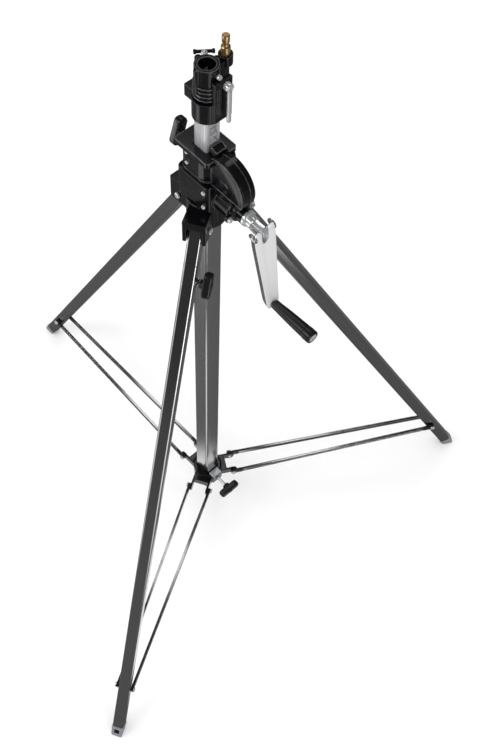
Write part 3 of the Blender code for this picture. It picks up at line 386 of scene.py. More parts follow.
def finish(name, colour, edge, metallic, roughness, lines=None, pits=900.0, bump=0.05, coat=0.0,
           radius=0.0008, wear_and_painted_light=0.5, source="own", specular=0.5):
    """One finish: drawn lines or a cast skin for roughness and height, and edge marks for colour that are
    partly wear and partly painted glints and painted shade.
    """
    material = bpy.data.materials.new(name)
    material.use_nodes = True
    tree = material.node_tree
    shader = tree.nodes["Principled BSDF"]
    shader.inputs["Metallic"].default_value = metallic
    shader.inputs["Coat Weight"].default_value = coat
    shader.inputs["Coat Roughness"].default_value = 0.08
    shader.inputs["Specular IOR Level"].default_value = specular
    if source == "own":
        where = node(tree, "Attribute", attribute_name="own").outputs["Vector"]
    else:
        where = node(tree, "TexCoord").outputs["Object"]
    surface = node(tree, "Group", node_tree=DRAWN if lines else CAST)
    if lines:
        surface.inputs["Squeeze"].default_value = lines
    else:
        surface.inputs["Pit Scale"].default_value = pits
    surface.inputs["Rough Low"].default_value, surface.inputs["Rough High"].default_value = roughness
    edge_wear_and_light = node(tree, "Group", node_tree=EDGE_WEAR_AND_LIGHT)
    edge_wear_and_light.inputs["Radius"].default_value = radius
    edge_wear_and_light.inputs["Body Colour"].default_value = (*colour, 1)
    edge_wear_and_light.inputs["Edge Colour"].default_value = (*edge, 1)
    edge_wear_and_light.inputs["Amount"].default_value = wear_and_painted_light
    relief = node(tree, "Bump")
    relief.inputs["Strength"].default_value = bump
    relief.inputs["Distance"].default_value = 0.0004
    link = tree.links.new
    link(where, surface.inputs["Vector"])
    link(where, edge_wear_and_light.inputs["Vector"])
    link(surface.outputs["Roughness"], shader.inputs["Roughness"])
    link(surface.outputs["Height"], relief.inputs["Height"])
    link(edge_wear_and_light.outputs["Normal"], relief.inputs["Normal"])
    link(relief.outputs["Normal"], shader.inputs["Normal"])
    link(edge_wear_and_light.outputs["Colour"], shader.inputs["Base Color"])
    LOOKS[name] = material


ALONG = (700.0, 700.0, 9.0)
finish("black_chrome", (0.420, 0.420, 0.430), (0.75, 0.75, 0.77), 1.0, (0.10, 0.20), ALONG,
       bump=0.03)
finish("column_satin", (0.600, 0.600, 0.610), (0.85, 0.85, 0.87), 1.0, (0.12, 0.26), ALONG,
       bump=0.05)
# The black casting's pale edge colour, at full amount, is painted highlight: glints along the cast edges.
finish("black_casting", (0.0030, 0.0030, 0.0038), (0.34, 0.34, 0.35), 0.0, (0.14, 0.26),
       pits=700.0, bump=0.08, coat=0.15, radius=0.0013, wear_and_painted_light=1.0, specular=0.3)
# A lighter casting finish for rims, collars and fins: its lifted body colour and pale edges are painted
# highlight on those rims.
finish("painted_glint_casting", (0.035, 0.035, 0.038), (0.60, 0.60, 0.62), 0.3, (0.16, 0.30),
       pits=700.0, bump=0.08, coat=0.4, radius=0.0010, wear_and_painted_light=1.0)
finish("bright_steel", (0.80, 0.81, 0.83), (0.95, 0.95, 0.95), 0.7, (0.18, 0.32), ALONG)
finish("riser_steel", (0.66, 0.66, 0.68), (0.9, 0.9, 0.9), 0.6, (0.16, 0.30), ALONG)
finish("chrome", (0.78, 0.79, 0.80), (0.95, 0.95, 0.95), 0.75, (0.14, 0.24), pits=300.0, bump=0.02,
       radius=0.0006)
# The arm's dark edge colour is painted shade along the edges of the bright web.
finish("polished_arm", (0.86, 0.86, 0.87), (0.30, 0.30, 0.31), 0.35, (0.16, 0.26), pits=300.0,
       bump=0.02, radius=0.0007)
finish("brass", (0.58, 0.38, 0.16), (0.80, 0.62, 0.34), 0.9, (0.16, 0.30), (500.0, 500.0, 60.0))
finish("black_plastic", (0.006, 0.006, 0.0065), (0.06, 0.06, 0.06), 0.0, (0.26, 0.40),
       pits=1400.0, bump=0.10)
finish("grey_plastic", (0.23, 0.225, 0.25), (0.5, 0.5, 0.52), 0.0, (0.34, 0.52),
       pits=1100.0, bump=0.12, radius=0.0015)
# Near-black sheets for the floors of the feet's and the case boss's recesses: painted shade in those recesses.
finish("painted_recess_shade", (0.003, 0.003, 0.003), (0.02, 0.02, 0.02), 0.0, (0.6, 0.8), bump=0.05)
finish("bronze", (0.42, 0.27, 0.12), (0.7, 0.5, 0.3), 1.0, (0.3, 0.45), source="object")
finish("gear_steel", (0.33, 0.32, 0.30), (0.6, 0.6, 0.6), 1.0, (0.28, 0.42), source="object")
finish("node_steel", (0.46, 0.46, 0.48), (0.9, 0.9, 0.9), 1.0, (0.2, 0.36), source="object")
finish("node_plastic", (0.006, 0.006, 0.0065), (0.06, 0.06, 0.06), 0.0, (0.26, 0.40),
       source="object")
finish("node_grey", (0.05, 0.05, 0.055), (0.3, 0.3, 0.32), 0.0, (0.42, 0.58), source="object")

# Finishes of the nodes that keep their own shape.
NODE_LOOKS = {
    "node_steel": ["leg_front_spigot", "riser_2", "grip_bolt"],
    "node_plastic": ["column_plug"],
    "node_grey": ["riser_bush"],
    "bronze": ["drive_wheel", "worm_bush"],
    "gear_steel": ["worm_shaft", "wheel_axle"],
}
for look, names in NODE_LOOKS.items():
    for name in names:
        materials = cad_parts[name].data.materials
        materials.clear()
        materials.append(LOOKS[look])

# ------------------------------------------------------------ column, legs and feet

column_ring = rounded(0.042, 0.042, 0.006)
make("column", [sleeve(column_ring, rounded(0.037, 0.037, 0.0035), 0.058, 1.224)], STANDING, "base",
     "column_satin", ["column_tube"])

LEG_CORNER = 0.0066
LEG_BORE = LEG_SIDE - 2 * LEG_WALL
LEG_OUTER = rounded(LEG_SIDE, LEG_SIDE, LEG_CORNER, steps=8)
LEG_INNER = rounded(LEG_BORE, LEG_BORE, LEG_CORNER - LEG_WALL, steps=8)
TUBE_START, TUBE_END = -0.016, LEG_LENGTH - FOOT_LENGTH
SLEEVE_END = 0.0712
LEVEL_KNOB_AT = 0.109

for side in ("left", "right"):
    make("leg_tube_" + side, [sleeve(LEG_OUTER, LEG_INNER, TUBE_START, TUBE_END)], down_leg(AZIMUTHS[side]),
         "leg_" + side, "black_chrome", ["leg_" + side])
front_frame = down_leg(AZIMUTHS["front"])
make("leg_tube_front_upper", [sleeve(LEG_OUTER, LEG_INNER, TUBE_START, SLEEVE_END - GAP)], front_frame,
     "front_root", "black_chrome", ["leg_front_sleeve"])
level_side = moved(drum(0.009, 0.0, 0.0058, 0.001), shift(0, LEG_SIDE / 2 - 0.0002, LEVEL_KNOB_AT) @ ALONG_Y)
make("leg_tube_front_lower", [sleeve(LEG_OUTER, LEG_INNER, SLEEVE_END, TUBE_END), level_side], front_frame,
     "leg_front", "black_chrome", ["leg_front"])


def foot_cap():
    """Rounded-square rings down the leg; the last ones lie on the level floor.

    A ring's depth is its share of the way from the tube's end to the floor below that corner.
    """
    shares = np.array([0.0, 0.0, 0.03, 0.30, 0.36, 0.90, 0.97, 1.0])
    insets = np.array([0.0040, 0.0008, 0.0, 0.0, 0.0007, 0.0011, 0.0018, 0.0036])
    rings = []
    for share, inset in zip(shares, insets):
        ring = drawn_in(rounded(FOOT_SIDE, FOOT_SIDE, 0.0042), inset)
        floor = (PIVOT_HEIGHT - ring[:, 0] * math.sin(LEG_ANGLE)) / math.cos(LEG_ANGLE)
        start = TUBE_END + GAP
        rings.append(np.column_stack([ring, start + share * (floor - start)]))
    return skin(np.array(rings))


BODY_OF_FOOT = {"left": "leg_left", "right": "leg_right", "front": "leg_front"}
for side, azimuth in AZIMUTHS.items():
    place = down_leg(azimuth)
    make("foot_cap_" + side, [foot_cap()], place, BODY_OF_FOOT[side], "grey_plastic",
         ["foot_" + side])
    face = place @ shift(-FOOT_SIDE / 2 + 0.0002, 0, LEG_LENGTH - 0.0125) @ ALONG_MINUS_X
    frame_wall = sleeve(rounded(0.0200, 0.0200, 0.0022), rounded(0.0130, 0.0130, 0.0016), -0.0006, 0.0014)
    make("foot_frame_" + side, [frame_wall], face, BODY_OF_FOOT[side], "grey_plastic")
    # A near-black sheet inside the foot's frame: painted recess shade.
    make("foot_recess_shade_" + side, [slab(rounded(0.0129, 0.0129, 0.0016), -0.0006, 0.0004, 0.0002)], face,
         BODY_OF_FOOT[side], "painted_recess_shade")

# ------------------------------------------------------------ pins and knobs


def headed(reach, radius, head, height, inner=0.0):
    """A pin along local Y with a cap head at each end, or two bolts that stop at the inner distance."""
    shells = [] if inner else [moved(drum(radius, -reach, reach, 0.0003, 20), ALONG_Y)]
    for axis, sign in ((ALONG_Y, 1), (ALONG_MINUS_Y, -1)):
        if inner:
            shells.append(moved(drum(radius, inner, reach, 0.0003, 20), axis))
        shells.append(moved(bolt_head(head, height), shift(0, sign * (reach - 0.0006), 0) @ axis))
    return shells


for side, azimuth in AZIMUTHS.items():
    make("yoke_bolt_" + side, headed(0.0241, 0.004, 0.0065, 0.0040),
         outwards(azimuth) @ shift(PIVOT_RADIUS, 0, PIVOT_HEIGHT), "base", "bright_steel",
         ["leg_bolt_" + side])


def wing(stem, length=0.058, width=0.022, depth=0.017):
    """Two swept wings on a ribbed hub: a rounded outline pinched in at its waist."""
    outline = rounded(width, length, 0.0098, steps=10)
    outline[:, 0] *= 0.80 + 0.20 * np.minimum(1.0, np.abs(outline[:, 1]) / (length * 0.32)) ** 2
    ribs = [hoop(0.0088, 0.0007, stem - 0.0045 + 0.0022 * i, 32) for i in range(3)]
    return [slab(outline, stem, stem + depth, 0.0045, 6), drum(0.0090, stem - 0.006, stem + 0.004, 0.0012),
            drum(0.0070, stem + depth - 0.002, stem + depth + 0.0012, 0.0010)] + ribs


def knob(name, place, stem, body, stands_for, length=0.058):
    """A wing knob and the bare stem under it."""
    make(name, wing(stem, length), place, body, "black_plastic", [stands_for])
    make(name + "_stem", [drum(0.0040, 0.0, stem, 0.0004, 24)], place, body, "bright_steel")


knob("brace_knob", STANDING @ shift(0.0225, 0, SPIDER_HEIGHT) @ ALONG_X, 0.056, "spider_knob", "spider_knob")
knob("riser_knob", STANDING @ shift(-0.0175, 0, 1.338) @ ALONG_MINUS_X @ turn("Z", 108), 0.050, "lock_knob",
     "lock_knob")
knob("levelling_knob", front_frame @ shift(0, LEG_SIDE / 2 + 2 * GAP, LEVEL_KNOB_AT) @ ALONG_Y, 0.013,
     "level_knob", "level_knob", 0.054)

# ------------------------------------------------------------ braces

brace_rise, brace_run = BRACE_END[1] - SPIDER_HEIGHT, BRACE_END[0] - BRACE_PIN
BRACE_LENGTH = math.hypot(brace_rise, brace_run)
BRACE_PITCH = math.degrees(math.atan2(brace_rise, brace_run))
BRACE_SPLAY = math.degrees(math.atan2(BRACE_PIN_SIDE - BRACE_END_SIDE, BRACE_LENGTH))


def strip(sign):
    """A shallow channel section carried along X; its height follows a circle at the round ends."""
    half, deep = BRACE_HEIGHT / 2, BRACE_THICK / 2
    lip, floor = half - 0.0016, deep - 0.0016
    section = np.array([(-deep, -half), (deep, -half), (deep, -lip), (floor, -lip), (floor, lip), (deep, lip),
                        (deep, half), (0.0012, half), (0.0012, half - 0.0012), (-0.0012, half - 0.0012),
                        (-0.0012, half), (-deep, half)])
    section[:, 0] *= sign
    bow = np.linspace(0.05, 1, 8)
    start = -half * np.sqrt(1 - bow ** 2)
    along = np.concatenate([start, BRACE_LENGTH - start[::-1]])
    heights = np.concatenate([bow, bow[::-1]])
    centres = np.column_stack([along, np.zeros_like(along), np.zeros_like(along)])
    across = np.broadcast_to([0.0, 1.0, 0.0], centres.shape)
    up = np.broadcast_to([0.0, 0.0, 1.0], centres.shape)
    return carried(section, centres, across, up, np.ones_like(along), heights)


for side, azimuth in AZIMUTHS.items():
    body = "brace_" + side
    for label, sign in (("a", 1), ("b", -1)):
        place = (outwards(azimuth) @ shift(BRACE_PIN, sign * BRACE_PIN_SIDE, SPIDER_HEIGHT)
                 @ turn("Y", -BRACE_PITCH) @ turn("Z", -sign * BRACE_SPLAY))
        make("strip_%s_%s" % (side, label), [strip(sign)], place, body, "black_chrome",
             ["brace_%s_%s" % (side, label)])
        shoes = [moved(slab(rounded(0.034, 0.0150, 0.0072), -0.0032, 0.0032, 0.0008),
                       shift(at, 0, 0) @ ALONG_MINUS_Y) for at in (0.011, BRACE_LENGTH - 0.011)]
        make("strip_shoe_%s_%s" % (side, label), shoes, place, body, "black_plastic")
        sideways = ALONG_Y if sign > 0 else ALONG_MINUS_Y
        bolt = [moved(drum(0.003, 0.0152, 0.0220, 0.0003, 20), sideways),
                moved(bolt_head(0.0062, 0.0036), shift(0, sign * 0.0214, 0) @ sideways)]
        outer_pin = outwards(azimuth) @ shift(BRACE_END[0], 0, BRACE_END[1])
        make("strip_bolt_%s_%s" % (side, label), bolt, outer_pin, body, "bright_steel",
             ["brace_bolt_%s_%s" % (side, label)])
    make("spider_bolt_" + side, headed(0.0320, 0.0035, 0.0066, 0.0036, 0.0176),
         outwards(azimuth) @ shift(BRACE_PIN, 0, SPIDER_HEIGHT), "spider", "bright_steel",
         ["spider_pin_" + side])

boss_plate = slab(rounded(0.0185, 0.0285, 0.0020, (0.0325, 0.0)), 0.1306, 0.1318, 0.0005)
make("knob_boss_plate", [boss_plate], STANDING, "spider", "bright_steel")

# ------------------------------------------------------------ castings

cast_from("yoke_casting", "leg_yoke", "base", 0.0011, "black_casting")
cast_from("spider_casting", "spider", "spider", 0.0010, "black_casting")
cast_from("winch_casting", "winch_body", "base", 0.0011, "black_casting")
cast_from("clamp_casting", "riser_clamp", "riser_1", 0.0008, "black_casting", 4)
cast_from("head_body", "head_casting", "riser_2", 0.0007, "black_casting", 4)
cast_from("shaft_cap", "bearing_cap", "base", 0.0007, "black_casting", 4)

CASE_CENTRE, CASE_RADIUS = (0.058, 1.320), 0.054
ONTO_NEAR_FACE = STANDING @ ALONG_MINUS_Y


def case_edge(radius, floor, left, steps=40):
    """The gear case's D in (x, height): a level floor, an upright side and a round back."""
    first = math.asin((floor - CASE_CENTRE[1]) / radius)
    last = math.acos((left - CASE_CENTRE[0]) / radius)
    angle = np.linspace(first, last, steps)
    back = np.column_stack([CASE_CENTRE[0] + radius * np.cos(angle), CASE_CENTRE[1] + radius * np.sin(angle)])
    return np.concatenate([[(left, floor)], back])


cover_edge = case_edge(CASE_RADIUS, 1.303, 0.032)
make("case_cover", [slab(cover_edge, 0.0163, 0.0193, 0.0010),
                    slab(drawn_in(cover_edge, 0.0045), 0.0190, 0.0200, 0.0006)], ONTO_NEAR_FACE, "base",
     "black_casting", ["gear_cover"])
badge = rounded(0.024, 0.012, 0.0058, (0.066, 1.332), 8)
make("case_badge", [slab(badge, 0.0198, 0.0212, 0.0006)], ONTO_NEAR_FACE, "base", "black_casting")
boss_place = STANDING @ shift(0.0265, 0.0020, 1.3735) @ turn("Y", 24)
boss_wall = sleeve(rounded(0.017, 0.026, 0.003), rounded(0.0115, 0.0200, 0.0015), -0.006, 0.0062, 0.0008)
make("case_boss", [boss_wall], boss_place, "base", "painted_glint_casting")
# A near-black sheet inside the boss: painted recess shade.
make("case_boss_recess_shade", [slab(rounded(0.0113, 0.0198, 0.0015), -0.006, 0.0030, 0.0003)], boss_place, "base",
     "painted_recess_shade")
tab = np.array([(0.022, 0.0165), (0.040, 0.0175), (0.047, 0.0250), (0.040, 0.0300), (0.022, 0.0290)])
make("case_tab", [slab(tab, 1.3520, 1.3560, 0.0009)], STANDING, "base", "black_casting")
make("worm_collars", [moved(hoop(0.0244, 0.0011, at, 56), shift(z=SHAFT_HEIGHT) @ ALONG_X)
                      for at in (0.0790, 0.0440)], STANDING, "base", "painted_glint_casting")
cover_rim = sleeve(case_edge(CASE_RADIUS + 0.0004, 1.3026, 0.0316),
                   case_edge(CASE_RADIUS - 0.0012, 1.3042, 0.0332), 0.0176, 0.0197, 0.0004)
make("cover_rim", [cover_rim], ONTO_NEAR_FACE, "base", "painted_glint_casting")
back_rib = sleeve(case_edge(CASE_RADIUS + 0.0012, 1.300, 0.040),
                  case_edge(CASE_RADIUS - 0.0020, 1.300, 0.040), -0.0020, 0.0000, 0.0005)
make("case_rib", [back_rib], ONTO_NEAR_FACE, "base", "black_casting")

collar_ring = rounded(0.0884, 0.0704, 0.0075, (-0.004, 0.0))
collar_bore = rounded(0.0840, 0.0660, 0.0060, (-0.004, 0.0))
make("collar_rim", [sleeve(collar_ring, collar_bore, 1.3656, 1.3673, 0.0004)], STANDING, "base",
     "painted_glint_casting")
barrel_ring = rounded(0.0796, 0.0616, 0.0228, (-0.005, 0.0), 12)
barrel_bore = rounded(0.0770, 0.0590, 0.0215, (-0.005, 0.0), 12)
make("barrel_seams", [sleeve(barrel_ring, barrel_bore, z, z + 0.0016, 0.0004) for z in (1.3035, 1.3072)],
     STANDING, "base", "black_casting")
for height, name in ((1.291, "case_bolt_1"), (1.254, "case_bolt_2")):
    make(name + "_head", [moved(bolt_head(0.0042, 0.0042), shift(0.0315, -0.0353, height) @ ALONG_MINUS_Y)],
         STANDING, "base", "bright_steel", [name])
screws = [moved(bolt_head(0.0036, 0.0034), shift(-0.018, -0.0300, height) @ ALONG_MINUS_Y)
          for height in (1.352, 1.326)]
make("barrel_screws", screws, STANDING, "base", "bright_steel")
for name, y in (("cap_bolt_1", -0.027), ("cap_bolt_2", 0.027)):
    flange = drum(0.0060, 0.0, 0.0012, 0.0004, 32)
    make(name + "_head", [moved(flange, shift(0.0898, y, SHAFT_HEIGHT) @ ALONG_X),
                          moved(bolt_head(0.0046, 0.0044), shift(0.0906, y, SHAFT_HEIGHT) @ ALONG_X)],
         STANDING, "base", "bright_steel", [name])

# ------------------------------------------------------------ crank

CRANKED = STANDING @ shift(z=SHAFT_HEIGHT) @ turn("X", CRANK_TILT)


def round_line(centre, radius, first, last, count):
    """Points on a circle from one angle to another, both ends included."""
    angle = np.linspace(first, last, count)
    return np.array(centre) + radius * np.column_stack([np.cos(angle), np.sin(angle)])


hub = moved(turned([(0.0145, 0.1053), (0.0160, 0.1064), (0.0160, 0.1112), (0.0150, 0.1124), (0.0122, 0.1130),
                    (0.0116, 0.1160), (0.0125, 0.1170), (0.0125, 0.1248), (0.0112, 0.1260)]), ALONG_X)
tongue_edge = np.concatenate([[(0.120, 0.009), (0.120, -0.009)],
                              round_line((CRANK_PIN_X, 0.0), 0.009, -math.pi / 2, math.pi / 2, 16)])
tongue = moved(slab(tongue_edge, -0.006, 0.006, 0.0008), ALONG_MINUS_Y)
make("crank_socket", [hub, tongue], CRANKED, "crank", "chrome", ["crank_hub"])


ARM_TOP, ARM_END = 0.048, 0.030         # the arm's widths at its pin and at its grip
ARM_LEVEL = 0.030                       # how far below the pin the taper starts
WALL_THICK, WALL_DEPTH = 0.0030, 0.013
WEB_INNER, WEB_OUTER = 0.150, 0.153


def arm_half(distance):
    """Half the arm's width: level as far as ARM_LEVEL, then a straight taper to its end."""
    share = np.clip((distance - ARM_LEVEL) / (ARM_LENGTH - ARM_LEVEL), 0, 1)
    return (ARM_TOP + (ARM_END - ARM_TOP) * share) / 2


def arm_web():
    """A sheet in (y, z): two round ears, a notch between them, a straight taper and a round end."""
    end = round_line((0.0, -ARM_LENGTH), ARM_END / 2, 0, -math.pi, 18)
    notch = round_line((0.0, -0.024), 0.008, math.pi, 2 * math.pi, 14)
    ear = round_line((0.016, 0.004), 0.008, math.pi, 0, 12)
    shoulder = arm_half(ARM_LEVEL)
    edge = np.concatenate([ear, [(shoulder, -ARM_LEVEL)], end, [(-shoulder, -ARM_LEVEL)],
                           ear[::-1] * (-1, 1), notch])
    return facing_out(*moved(slab(edge[::-1], WEB_INNER, WEB_OUTER, 0.0007), INTO_X))


def arm_walls():
    """A rounded bar down each side of the web, thinning in depth at its end, and a disc about the pin."""
    count = 24
    distance = np.linspace(0.0, ARM_LENGTH - 0.002, count)
    depth = np.interp(distance, [0.0, 0.235, 0.248], [WALL_DEPTH, WALL_DEPTH, 0.006])
    across = np.broadcast_to([1.0, 0.0, 0.0], (count, 3))
    up = np.broadcast_to([0.0, 1.0, 0.0], (count, 3))
    walls = []
    for sign in (-1, 1):
        middle = sign * (arm_half(distance) - WALL_THICK / 2)
        centres = np.column_stack([0.1525 - depth / 2, middle, -distance])
        walls.append(carried(rounded(1.0, 1.0, 0.24, steps=3), centres, across, up, depth,
                             np.full(count, 0.0029)))
        disc = drum(0.0105, -WALL_THICK / 2, WALL_THICK / 2, 0.0005, 36)
        side = sign * (ARM_TOP - WALL_THICK) / 2
        walls.append(moved(disc, shift(CRANK_PIN_X - 0.001, side, 0) @ ALONG_Y))
    return walls


make("crank_hinge_pin", headed(0.0250, 0.003, 0.0055, 0.0022), CRANKED @ shift(CRANK_PIN_X, 0, 0), "crank",
     "chrome", ["crank_pin"])
make("crank_web", [arm_web()], CRANKED, "crank_arm", "polished_arm", ["crank_arm"])
# The walls take the darker column finish, not the web's: painted shade on the arm's side flanges, which are
# one piece with the web.
make("crank_walls", arm_walls(), CRANKED, "crank_arm", "column_satin", ["crank_arm"])

grip_profile = [(0.0086, 0.1560), (0.0094, 0.1566), (0.0096, 0.1580), (0.0101, 0.1660), (0.0106, 0.1760),
                (0.0113, 0.1860), (0.0120, 0.1990), (0.0126, 0.2130), (0.0132, 0.2290), (0.0136, 0.2400),
                (0.0128, 0.2408), (0.0128, 0.2424), (0.0138, 0.2434), (0.0142, 0.2480), (0.0142, 0.2600),
                (0.0138, 0.2622), (0.0128, 0.2634), (0.0112, 0.2640), (0.0096, 0.2640), (0.0094, 0.2632)]
grip_place = CRANKED @ shift(z=-ARM_LENGTH) @ ALONG_X
make("crank_grip", [turned(grip_profile, 56)], grip_place, "grip", "black_plastic", ["grip"])
make("crank_grip_end", [drum(0.0092, 0.2610, 0.2637, 0.0006)], grip_place, "grip", "bright_steel")

# ------------------------------------------------------------ risers, rack and clamp

RISER_HALF = 0.0165
CHANNEL_HALF, CHANNEL_FLOOR = 0.0085, RISER_HALF - 0.0086
channel = np.array([(RISER_HALF, -CHANNEL_HALF), (CHANNEL_FLOOR, -CHANNEL_HALF),
                    (CHANNEL_FLOOR, CHANNEL_HALF), (RISER_HALF, CHANNEL_HALF)])
wall_line = np.concatenate([rounded(2 * RISER_HALF, 2 * RISER_HALF, 0.004), channel])
# The bore's outline has a point for each of the wall's, so four lie along its side by the channel.
bore_side = np.array([(0.0058, -0.009), (0.0058, -0.003), (0.0058, 0.003), (0.0058, 0.009)])
bore_line = np.concatenate([rounded(0.0199, 0.0282, 0.002, (-0.00415, 0.0)), bore_side])
make("riser_body", [sleeve(wall_line, bore_line, 0.100, 1.4498, GAP)], STANDING, "riser_1",
     "riser_steel", ["riser_1"])


TEETH, TOOTH_PITCH = 57, 0.01885
RACK_BACK, RACK_HALF = 0.0082, 0.0082


def rack_shell():
    """A tooth line in (x, height), carried across the riser's channel: sloping teeth in an even row."""
    root, tip = 0.0102, 0.0162
    mesh_height, lowest = WHEEL_HEIGHT, 0.335
    first = mesh_height - round((mesh_height - lowest) / TOOTH_PITCH - 0.5) * TOOTH_PITCH
    middle = first + TOOTH_PITCH * np.arange(TEETH)
    corners = ((root, -0.0053), (tip, -0.0027), (tip, 0.0027), (root, 0.0053))
    teeth = np.stack([np.stack([np.full(TEETH, depth), middle + rise], -1) for depth, rise in corners], 1)
    low, high = first - TOOTH_PITCH / 2, first + (TEETH - 0.5) * TOOTH_PITCH
    edge = np.concatenate([[(RACK_BACK, low), (root, low)], teeth.reshape(-1, 2),
                           [(root, high), (RACK_BACK, high)]])
    return slab(edge, -RACK_HALF, RACK_HALF, 0.0004, 1)


make("rack_bar", [moved(rack_shell(), ALONG_MINUS_Y)], STANDING, "riser_1", "riser_steel", ["rack"])

lever = [moved(drum(0.0078, 0.0313, 0.0430, 0.0012), shift(0, 0.013, 1.516) @ ALONG_X),
         moved(hoop(0.0062, 0.0013, 0.0425), shift(0, 0.013, 1.516) @ ALONG_X),
         moved(slab(rounded(0.0080, 0.080, 0.0038, (0.013, 1.479)), 0.0370, 0.0420, 0.0014), INTO_X)]
make("lever_arm", [facing_out(*shell) for shell in lever], STANDING, "clamp_lever", "chrome",
     ["clamp_lever"])
ribs = [moved(slab(rounded(0.0012, 0.060, 0.0005, (y, 1.484)), 0.0308, 0.0318, 0.0003), INTO_X)
        for y in (-0.006, -0.002, 0.022)]
make("clamp_ribs", [facing_out(*shell) for shell in ribs], STANDING, "riser_1", "black_casting")

# ------------------------------------------------------------ head

fin_outer, fin_bore = rounded(0.0480, 0.0480, 0.0239, steps=8), rounded(0.0410, 0.0410, 0.0204, steps=8)
fins = [sleeve(fin_outer, fin_bore, z, z + 0.0020) for z in (1.4850, 1.4935, 1.5020, 1.5105)]
make("head_fins", fins, STANDING, "riser_2", "painted_glint_casting")
make("head_rim", [sleeve(rounded(0.0420, 0.0420, 0.0209, steps=8), rounded(0.0296, 0.0296, 0.01475, steps=8),
                         1.5462, 1.5470, 0.0003)], STANDING, "riser_2", "painted_glint_casting")
lobes = [moved(drum(0.0062, 1.520, 1.5468, 0.0012, 28), turn("Z", at) @ shift(0.0210, 0, 0))
         for at in (180, -90, 90)]
make("head_lobes", lobes, STANDING, "riser_2", "black_casting")
stud_profile = [(0.0070, 1.5306), (0.0080, 1.532), (0.0080, 1.5605), (0.0074, 1.5614), (0.0056, 1.5630),
                (0.0054, 1.5645), (0.0054, 1.5680), (0.0064, 1.5700), (0.0066, 1.5712), (0.0066, 1.5815),
                (0.0062, 1.5830), (0.0050, 1.5840)]
make("stud", [moved(turned(stud_profile, 48), shift(0.001, 0.039, 0))], STANDING, "riser_2", "brass",
     ["brass_stud"])
make("head_bolt_cap", [moved(bolt_head(0.0045, 0.0066), shift(0.0219, 0.004, 1.533) @ ALONG_X)], STANDING,
     "riser_2", "chrome", ["head_bolt"])
TEE_AZIMUTH, TEE_HEIGHT, TEE_REACH, TEE_HALF = 143.0, 1.522, 0.0550, 0.018
screw_place = outwards(TEE_AZIMUTH) @ shift(z=TEE_HEIGHT)
make("tee_screw", [moved(drum(0.0040, 0.0155, 0.0517, 0.0005, 32), ALONG_X),
                   moved(drum(0.0056, 0.0480, 0.0535, 0.0010, 32), ALONG_X)], screw_place, "head_screw",
     "bright_steel", ["head_screw"])
tee_parts = ((0.0030, -TEE_HALF, TEE_HALF, 0.0014), (0.0042, -TEE_HALF, -0.0130, 0.0016),
             (0.0042, 0.0130, TEE_HALF, 0.0016))
make("tee_bar", [moved(drum(*part, 24), shift(TEE_REACH, 0, 0) @ ALONG_Y) for part in tee_parts], screw_place,
     "head_screw", "black_plastic", ["head_tee_bar"])

# ------------------------------------------------------------ camera, floor and lights

camera_data = bpy.data.cameras.new("camera")
camera_data.lens = 52.73
camera = bpy.data.objects.new("camera", camera_data)
bpy.context.scene.collection.objects.link(camera)
camera.matrix_world = Matrix(((0.677691, -0.638955, 0.363967, 0.984012),
                              (0.734870, 0.570642, -0.366517, -0.877655),
                              (0.026493, 0.515853, 0.856267, 2.731669),
                              (0.0, 0.0, 0.0, 1.0)))
camera_data.clip_start, camera_data.clip_end = 0.05, 60.0
bpy.context.scene.camera = camera

FLOOR_HALF, FLOOR_Z = 9.0, -FLOOR_DEPTH - 0.0002
floor_mesh = bpy.data.meshes.new("floor")
corners = [(x * FLOOR_HALF, y * FLOOR_HALF, FLOOR_Z) for x, y in ((-1, -1), (1, -1), (1, 1), (-1, 1))]
floor_mesh.from_pydata(corners, [], [[0, 1, 2, 3]])
floor = bpy.data.objects.new("floor", floor_mesh)
bpy.context.scene.collection.objects.link(floor)
floor_look = bpy.data.materials.new("pale_floor")
floor_look.use_nodes = True
floor_tree = floor_look.node_tree
floor_shader = floor_tree.nodes["Principled BSDF"]
floor_shader.inputs["Roughness"].default_value = 0.9
floor_shader.inputs["Specular IOR Level"].default_value = 0.0
# Reflections see a dark floor with pale patches, which draw bright lines along the tubes' corners.
floor_link = floor_tree.links.new
spot = node(floor_tree, "TexCoord").outputs["Object"]
heading = node(floor_tree, "VectorMath", operation="NORMALIZE")
reach = node(floor_tree, "VectorMath", operation="LENGTH")
floor_link(spot, heading.inputs[0])
floor_link(spot, reach.inputs[0])


def ramp(source, low, high, start=0.0, end=1.0):
    """A smooth step of a value from start to end between low and high."""
    step = node(floor_tree, "MapRange", interpolation_type="SMOOTHSTEP")
    for label, value in (("From Min", low), ("From Max", high), ("To Min", start), ("To Max", end)):
        step.inputs[label].default_value = value
    floor_link(source, step.inputs["Value"])
    return step.outputs["Result"]


def joined(operation, first, second):
    """Two values put through one Math node."""
    result = node(floor_tree, "Math", operation=operation)
    floor_link(first, result.inputs[0])
    floor_link(second, result.inputs[1])
    return result.outputs[0]


def sector(direction, low, high):
    """Pale where the heading from the axis lies near a direction."""
    facing = node(floor_tree, "VectorMath", operation="DOT_PRODUCT")
    facing.inputs[1].default_value = direction
    floor_link(heading.outputs[0], facing.inputs[0])
    return ramp(facing.outputs["Value"], low, high)


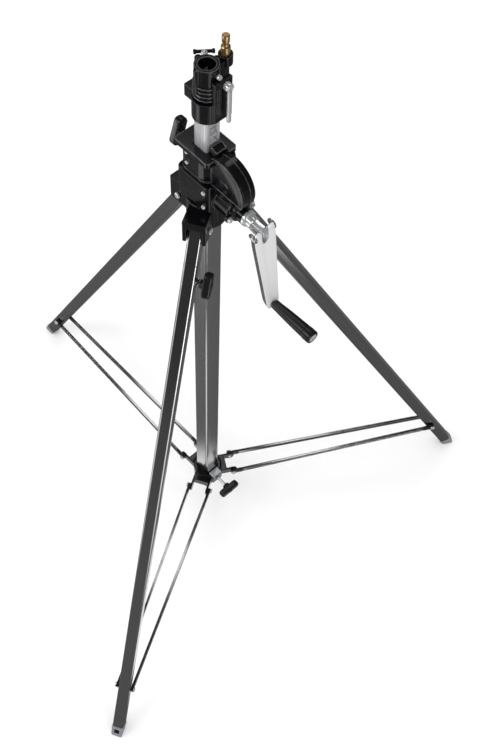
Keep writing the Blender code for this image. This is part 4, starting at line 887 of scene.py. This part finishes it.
# Two narrow sectors far out serve the front leg's corners, and a wide one near in the column's edge.
LEG_SECTOR = (0.955, 0.985)
DARK_FLOOR = 0.13
distance = reach.outputs["Value"]
sides = joined("MAXIMUM", sector((-0.40, -0.917, 0.0), *LEG_SECTOR), sector((0.974, -0.225, 0.0), *LEG_SECTOR))
far_sides = joined("MULTIPLY", sides, ramp(distance, 0.85, 1.0))
near_sweep = joined("MULTIPLY", sector((0.64, -0.77, 0.0), 0.80, 0.99), ramp(distance, 0.52, 0.68, 1.0, 0.0))
around = joined("MAXIMUM", near_sweep, ramp(distance, 0.10, 0.19, 1.0, DARK_FLOOR))
seen = node(floor_tree, "Mix", data_type="RGBA")
seen.inputs["A"].default_value = (0.93, 0.93, 0.93, 1)
ray = node(floor_tree, "LightPath")
floor_link(joined("MAXIMUM", far_sides, around), seen.inputs["B"])
floor_link(ray.outputs["Is Glossy Ray"], seen.inputs["Factor"])
floor_link(seen.outputs["Result"], floor_shader.inputs["Base Color"])
floor_mesh.materials.append(floor_look)

world = bpy.data.worlds.new("studio")
bpy.context.scene.world = world
world.use_nodes = True
sky = world.node_tree.nodes["Background"]
sky.inputs["Color"].default_value = (1, 1, 1, 1)
path = world.node_tree.nodes.new("ShaderNodeLightPath")
level = world.node_tree.nodes.new("ShaderNodeMapRange")
level.inputs["To Min"].default_value = 1.0
level.inputs["To Max"].default_value = 0.06
world.node_tree.links.new(path.outputs["Is Glossy Ray"], level.inputs["Value"])
world.node_tree.links.new(level.outputs["Result"], sky.inputs["Strength"])


def softbox(name, place, target, size, power):
    """A rectangular lamp at a place, facing a target."""
    lamp_data = bpy.data.lights.new(name, "AREA")
    lamp_data.shape = "RECTANGLE"
    lamp_data.size, lamp_data.size_y = size
    lamp_data.energy = power
    lamp = bpy.data.objects.new(name, lamp_data)
    bpy.context.scene.collection.objects.link(lamp)
    lamp.location = place
    aim = Matrix.Translation(target).translation - lamp.location
    lamp.rotation_mode = "QUATERNION"
    lamp.rotation_quaternion = aim.to_track_quat("-Z", "Y")


softbox("key", (-0.6, -2.2, 2.6), (0, 0, 0.8), (1.2, 0.7), 14)
softbox("left_strip", (-1.9, -2.1, 1.1), (0, 0, 0.9), (0.6, 2.4), 22)
softbox("right_strip", (2.9, -0.5, 1.1), (0, 0, 0.9), (0.6, 2.4), 22)
softbox("top", (-1.1, 1.1, 3.6), (0, 0, 0.9), (0.9, 0.7), 5)
bpy.context.scene.view_settings.view_transform = "Standard"
